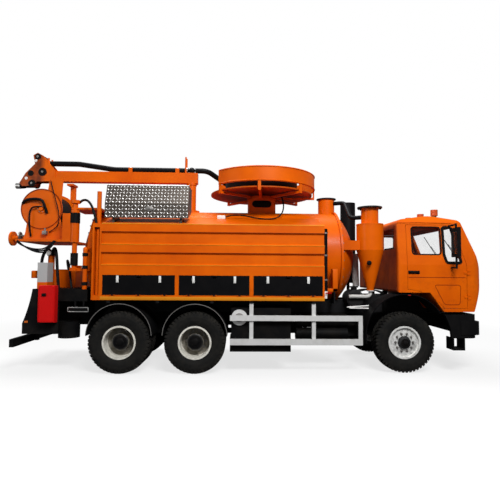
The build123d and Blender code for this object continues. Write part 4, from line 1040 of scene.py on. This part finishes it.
runHoses({
    "tank_cable": (0.013, [
        (1.845, -0.620, 2.905), (2.050, -0.640, 2.985), (2.600, -0.720, 2.850),
        (2.950, -0.690, 2.900), (3.040, -0.540, 3.200), (2.986, -0.460, 3.352),
    ]),
}, "chassis")
tubBead = {"heights": (3.556, 3.816), "arc": 282, "steps": 72, "radius": 0.012}
tubBeads = Shape()
reach = reelShape["radius"]
shares = [step / tubBead["steps"] - 0.5 for step in range(tubBead["steps"] + 1)]
turns = [math.radians(tubBead["arc"] * share) for share in shares]
for z in tubBead["heights"]:
    rim = [(reelShape["x"] + reach * math.cos(turn), reach * math.sin(turn), z) for turn in turns]
    for start, end in zip(rim, rim[1:]):
        tubBeads.tube(start, end, tubBead["radius"], 10)
tubBeads.piece("tub_beads", "orange", "chassis")
# a black plate in the pedestal pocket: painted shade in the deep pocket
boxPiece("pedestal_pocket_shade", "trimBlack", 0.004, [((2.403, -0.215, 3.172), (2.797, -0.180, 3.318))])
print("tank fittings done")


# boom and rear fittings

boomLine = {"columnX": rearX + 1.120, "hoseZ": 3.973, "headX": rearX - 1.870, "tailZ": 3.600}
columnX, hoseZ, headX = boomLine["columnX"], boomLine["hoseZ"], boomLine["headX"]
turnedPiece("hose_swivel", "trimBlack", "boom", ballProfile(0.070), (columnX, 0.0, hoseZ), (1, 0, 0), 32)
clamps = Shape()
for x in (rearX - 0.160, rearX + 0.820, columnX - 0.110):
    clamps.hoop((-0.016, 0.016), 0.0555, 0.060, (x, 0.0, hoseZ), (1, 0, 0), 32)
profile = [(-0.003, 0.046), (-0.003, 0.0595), (0.085, 0.0595), (0.085, 0.0555)]
clamps.turned(profile, (lowOf("boom_hose").x, 0.0, boomLine["tailZ"]), (1, 0, 0), 32)
clamps.piece("hose_clamps", "brightSteel", "boom")
headRoller = Shape()
for x, z in ((-0.235, 4.115), (-0.420, 3.745)):
    headRoller.tube((headX + x, -0.112, z), (headX + x, 0.112, z), 0.030, 24)
headRoller.piece("head_guides", "whitePlastic", "boom")
headAxles = (    # place from the head in x, height, cap radius, whether a pin shows
    (-0.190, 4.200, 0.062, True), (-0.090, 3.880, 0.085, True),
    (-0.300, 3.640, 0.072, True), (-0.330, 3.850, 0.060, False),
)
headCaps, pins = Shape(), Shape()
for x, z, radius, pinned in headAxles:
    for side in sides.values():
        profile = [(0, 0.0), (0, radius), (0.010, radius), (0.014, radius - 0.010), (0.014, 0.0)]
        headCaps.turned(profile, (headX + x, side * 0.1075, z), (0, side, 0), 28)
        if pinned:
            pins.tube((headX + x, side * 0.1210, z), (headX + x, side * 0.134, z), 0.024, 6)
headCaps.piece("head_roller_caps", "trimBlack", "boom")
pins.piece("head_pins", "dullSteel", "boom")

jet = {
    "x": rearX - 1.665, "z": 3.016, "face": -0.720, "bolts": 6, "boltRing": 0.066,
    "rim": [(0.0, 0.085), (0.012, 0.085), (0.016, 0.078), (0.016, 0.050), (0.0, 0.050)],
    "edge": [(0.0, 0.374), (0.012, 0.374), (0.012, 0.390), (0.0, 0.390)],
}
jetSpot = (jet["x"], jet["face"], jet["z"])
turnedPiece("jet_cheek_rims", "orange", "jet_arm", jet["rim"], jetSpot, (0, -1, 0), 40)
# the cheek's outer edge ring is a painted shade line
turnedPiece("jet_cheek_edge", "paintedShadeOrange", "jet_arm", jet["edge"], jetSpot, (0, -1, 0), 72)
cheekBolts = Shape()
for up, across in ringOf(jet["bolts"], jet["boltRing"]):
    x, z = jet["x"] + across, jet["z"] + up
    cheekBolts.tube((x, jet["face"] - 0.015, z), (x, jet["face"] - 0.024, z), 0.009, 6)
cheekBolts.box(fromRear(-1.610, -0.800, 2.515), fromRear(-1.530, -0.720, 2.590), 0.006)
cheekBolts.tube(fromRear(-1.570, -0.760, 2.590), fromRear(-1.570, -0.760, 2.640), 0.014, 12)
cheekBolts.piece("jet_valve", "dullSteel", "jet_arm")
runHoses({
    "jet_feed_hose": (0.026, [
        (-2.010, -0.740, 3.120), (-1.960, -0.775, 3.185), (-1.700, -0.775, 3.205),
        (-1.600, -0.775, 3.150), (-1.555, -0.740, 2.930),
    ]),
    "jet_return_hose": (0.016, [
        (-1.841, -0.740, 2.480), (-1.865, -0.780, 2.700), (-1.860, -0.780, 3.000),
        (-1.760, -0.780, 3.060), (-1.640, -0.740, 3.051),
    ]),
    "boom_cable": (0.009, [
        (-1.500, -0.740, 3.560), (-1.400, -0.775, 3.250), (-1.310, -0.775, 2.950),
        (-1.300, -0.775, 2.720), (-1.420, -0.775, 2.600), (-1.500, -0.735, 2.570),
    ]),
}, "jet_arm")
shelfHose = {"count": 3, "radius": 0.014, "sag": 0.030, "stepX": 0.02, "stepY": 0.012}
for row in range(shelfHose["count"]):
    sag = shelfHose["sag"] * row
    points = [
        (-2.000, -0.960, 2.385), (-1.900, -1.015, 2.300), (-1.620, -1.015, 2.215 - sag),
        (-1.400, -1.015, 2.240 - sag), (-1.300, -0.985, 2.385),
    ]
    points = [(x + shelfHose["stepX"] * row, y - shelfHose["stepY"] * row, z) for x, y, z in points]
    runHoses({f"shelf_hose_{row}": (shelfHose["radius"], points)}, "jet_arm")
wheelDisc = Shape()
profile = [(0, 0.0), (0, 0.072), (0.014, 0.080), (0.020, 0.072), (0.022, 0.0)]
wheelDisc.turned(profile, fromRear(-2.080, -0.640, 2.500), (-1, 0, 0), 36)
wheelDisc.tube(fromRear(-2.000, -0.640, 2.500), fromRear(-2.085, -0.640, 2.500), 0.018, 16)
wheelDisc.tube(fromRear(-2.000, -0.640, 2.400), fromRear(-2.000, -0.640, 2.515), 0.024, 16)
wheelDisc.piece("jet_hand_wheel", "dullSteel", "jet_arm")

postBands = {    # body, foot, height, inner and outer radius
    "post_band": ("chassis", 1.931, 0.230, 0.046, 0.066),
    "sleeve_band": ("jet_arm", 2.720, 0.190, 0.079, 0.086),
}
for name, (body, footZ, height, inner, outer) in postBands.items():
    postBand = Shape()
    postBand.hoop((0, height), inner, outer, fromRear(-0.930, -0.950, footZ), (0, 0, 1), 40)
    postBand.piece(name, "trimBlack", body)
can = Shape()
profile = [(0, 0.0), (0, 0.050), (0.010, 0.056), (0.130, 0.056), (0.140, 0.048), (0.142, 0.0)]
can.turned(profile, fromRear(-1.690, -0.850, 1.690), (0, 0, 1), 36)
can.tube(fromRear(-1.560, -0.850, 1.740), fromRear(-1.690, -0.850, 1.740), 0.016, 16)
can.piece("rear_can", "orange", "chassis")
sightPipe = Shape()
for side in sides.values():
    sightPipe.tube(fromRear(-0.420, side * 1.165, 1.402), fromRear(-0.420, side * 1.165, 3.280), 0.040, 28)
sightPipe.piece("sight_pipes", "orange", "chassis")
runHoses({
    "shoulder_hose": (0.022, [
        (-0.860, -0.930, 3.110), (-0.800, -0.980, 3.160), (-0.620, -1.130, 3.120),
        (-0.490, -1.210, 2.900), (-0.425, -1.212, 2.600),
    ]),
    "deck_hose_0": (0.028, [
        (-1.480, -0.600, 2.205), (-1.440, -0.640, 2.290), (-1.330, -0.780, 2.200),
        (-1.260, -0.880, 1.800), (-1.220, -0.900, 1.505),
    ]),
    "deck_hose_1": (0.028, [
        (-1.500, -0.640, 2.205), (-1.540, -0.700, 2.280), (-1.640, -0.720, 2.050),
        (-1.620, -0.700, 1.750), (-1.540, -0.690, 1.505),
    ]),
    "deck_hose_2": (0.022, [
        (-1.250, -0.400, 1.862), (-1.240, -0.520, 2.050), (-1.130, -0.700, 2.000),
        (-1.040, -0.820, 1.700), (-1.000, -0.850, 1.505),
    ]),
}, "chassis")
postValve = Shape()
postValve.box(fromRear(-1.560, -0.670, 2.120), fromRear(-1.440, -0.530, 2.230), 0.010)
postValve.tube(fromRear(-1.500, -0.660, 2.170), fromRear(-1.500, -0.720, 2.170), 0.020, 20)
postValve.piece("post_valve", "trimBlack", "chassis")
profile = [(0, 0.0), (0, 0.046), (0.020, 0.046), (0.024, 0.040), (0.024, 0.0)]
gaugeSpot = fromRear(-1.500, -0.718, 2.170)
turnedPiece("post_gauge", "whitePlastic", "chassis", profile, gaugeSpot, (0, -1, 0), 32)
riserShape = {
    "x": -0.690, "y": -1.050, "foot": 1.495, "top": 2.230, "radius": 0.042, "bands": (1.600, 1.900, 2.130),
}
riserTop = fromRear(riserShape["x"], riserShape["y"], riserShape["top"])
riser = Shape()
riser.tube(fromRear(riserShape["x"], riserShape["y"], riserShape["foot"]), riserTop, riserShape["radius"], 28)
riser.turned(ballProfile(riserShape["radius"]), riserTop, (0, 0, 1), 28)
riser.tube(riserTop, fromRear(-0.660, -0.900, riserShape["top"]), 0.040, 28)
riser.piece("rear_riser", "orange", "chassis")
riserBands = Shape()
for z in riserShape["bands"]:
    spot = fromRear(riserShape["x"], riserShape["y"], z)
    riserBands.hoop((-0.030, 0.030), riserShape["radius"], 0.050, spot, (0, 0, 1), 28)
riserBands.piece("riser_bands", "trimBlack", "chassis")
print("rear fittings done")


# floor, light and camera

stageLook = {
    "seen": rgb(0.80, 0.80, 0.80), "bounce": rgb(0.07, 0.07, 0.07), "size": 160.0,
    "fadeFrom": 5.5, "fadeTo": 11.0, "leastFade": 0.72,
}
floorFinish = Finish("pale_floor", {"Roughness": 0.9, "Specular IOR Level": 0.1})
away = reachOf(floorFinish.along("X"), floorFinish.along("Y"))
seenRay = floorFinish.add("ShaderNodeLightPath", output="Is Camera Ray")
floorFinish.set("Base Color", floorFinish.mix(seenRay, stageLook["bounce"], stageLook["seen"]))
spread = floorFinish.between(away, stageLook["fadeFrom"], stageLook["fadeTo"])
fade = (spread * (1 - stageLook["leastFade"]) + stageLook["leastFade"]) * seenRay
plainWhite = floorFinish.add("ShaderNodeEmission", {}, {"Color": rgb(1.0, 1.0, 1.0), "Strength": 1.0})
lit = Signal(floorFinish, floorFinish.shader.outputs[0])
faded = floorFinish.add("ShaderNodeMixShader", {}, {0: fade, 1: lit, 2: plainWhite})
floorFinish.feed(floorFinish.tree.nodes["Material Output"].inputs["Surface"], faded)
floorMesh = bpy.data.meshes.new("floor")
half = stageLook["size"] / 2
corners = [(-half, -half, 0), (half, -half, 0), (half, half, 0), (-half, half, 0)]
floorMesh.from_pydata(corners, [], [(0, 1, 2, 3)])
floorMesh.materials.append(floorFinish.material)
floor = bpy.data.objects.new("floor", floorMesh)
bpy.context.scene.collection.objects.link(floor)

skyStrength = 0.26
world = bpy.data.worlds.new("studio")
bpy.context.scene.world = world
world.use_nodes = True
sky = Board(world.node_tree)
cameraRay = sky.add("ShaderNodeLightPath", output="Is Camera Ray")
clearRay = sky.add("ShaderNodeLightPath", output="Is Transmission Ray")
seen = sky.add("ShaderNodeMath", {"operation": "MAXIMUM"}, {0: cameraRay, 1: clearRay})
strength = sky.add("ShaderNodeMapRange", {}, {"Value": seen, "To Min": skyStrength, "To Max": 1.0})
background = sky.tree.nodes["Background"]
sky.feed(background.inputs["Strength"], strength)
sky.feed(background.inputs["Color"], rgb(1.0, 1.0, 1.0))

softboxes = {    # place, target, size and watts
    "key": ((2.5, -9.0, 9.0), (0.0, 0.0, 1.8), 4.5, 1350.0),
    "top": ((-1.0, 2.0, 11.0), (0.0, 0.0, 2.0), 8.0, 1300.0),
    "fill": ((-9.0, -6.0, 4.0), (0.0, 0.0, 2.0), 5.0, 150.0),
}
for name, (place, target, size, watts) in softboxes.items():
    lamp = bpy.data.lights.new(name, "AREA")
    lamp.shape = "RECTANGLE"
    lamp.size = size
    lamp.size_y = size * 0.6
    lamp.energy = watts
    softbox = bpy.data.objects.new(name, lamp)
    bpy.context.scene.collection.objects.link(softbox)
    softbox.location = place
    softbox.rotation_euler = (Vector(target) - Vector(place)).to_track_quat("-Z", "Y").to_euler()

cameraFit = {
    "place": (0.040, -8.724, 1.836), "yaw": 1.7275, "pitch": 3.033, "roll": 0.42,
    "focal": 413.11, "frame": 500, "sensor": 36.0, "clipEnd": 400.0,
}
yaw, pitch, roll = (math.radians(cameraFit[key]) for key in ("yaw", "pitch", "roll"))
ahead = Vector((math.sin(yaw) * math.cos(pitch), math.cos(yaw) * math.cos(pitch), math.sin(pitch)))
level = Vector((math.cos(yaw), -math.sin(yaw), 0.0))
raised = level.cross(ahead)
rightward = level * math.cos(roll) + raised * math.sin(roll)
upward = raised * math.cos(roll) - level * math.sin(roll)
camera = bpy.data.objects.new("camera", bpy.data.cameras.new("camera"))
bpy.context.scene.collection.objects.link(camera)
camera.data.sensor_width = cameraFit["sensor"]
camera.data.lens = cameraFit["focal"] * cameraFit["sensor"] / cameraFit["frame"]
camera.data.clip_end = cameraFit["clipEnd"]
turn = Matrix((rightward, upward, -ahead)).transposed().to_4x4()
camera.matrix_world = Matrix.Translation(cameraFit["place"]) @ turn
bpy.context.scene.camera = camera
bpy.context.scene.view_settings.view_transform = "Standard"
print("stage set")
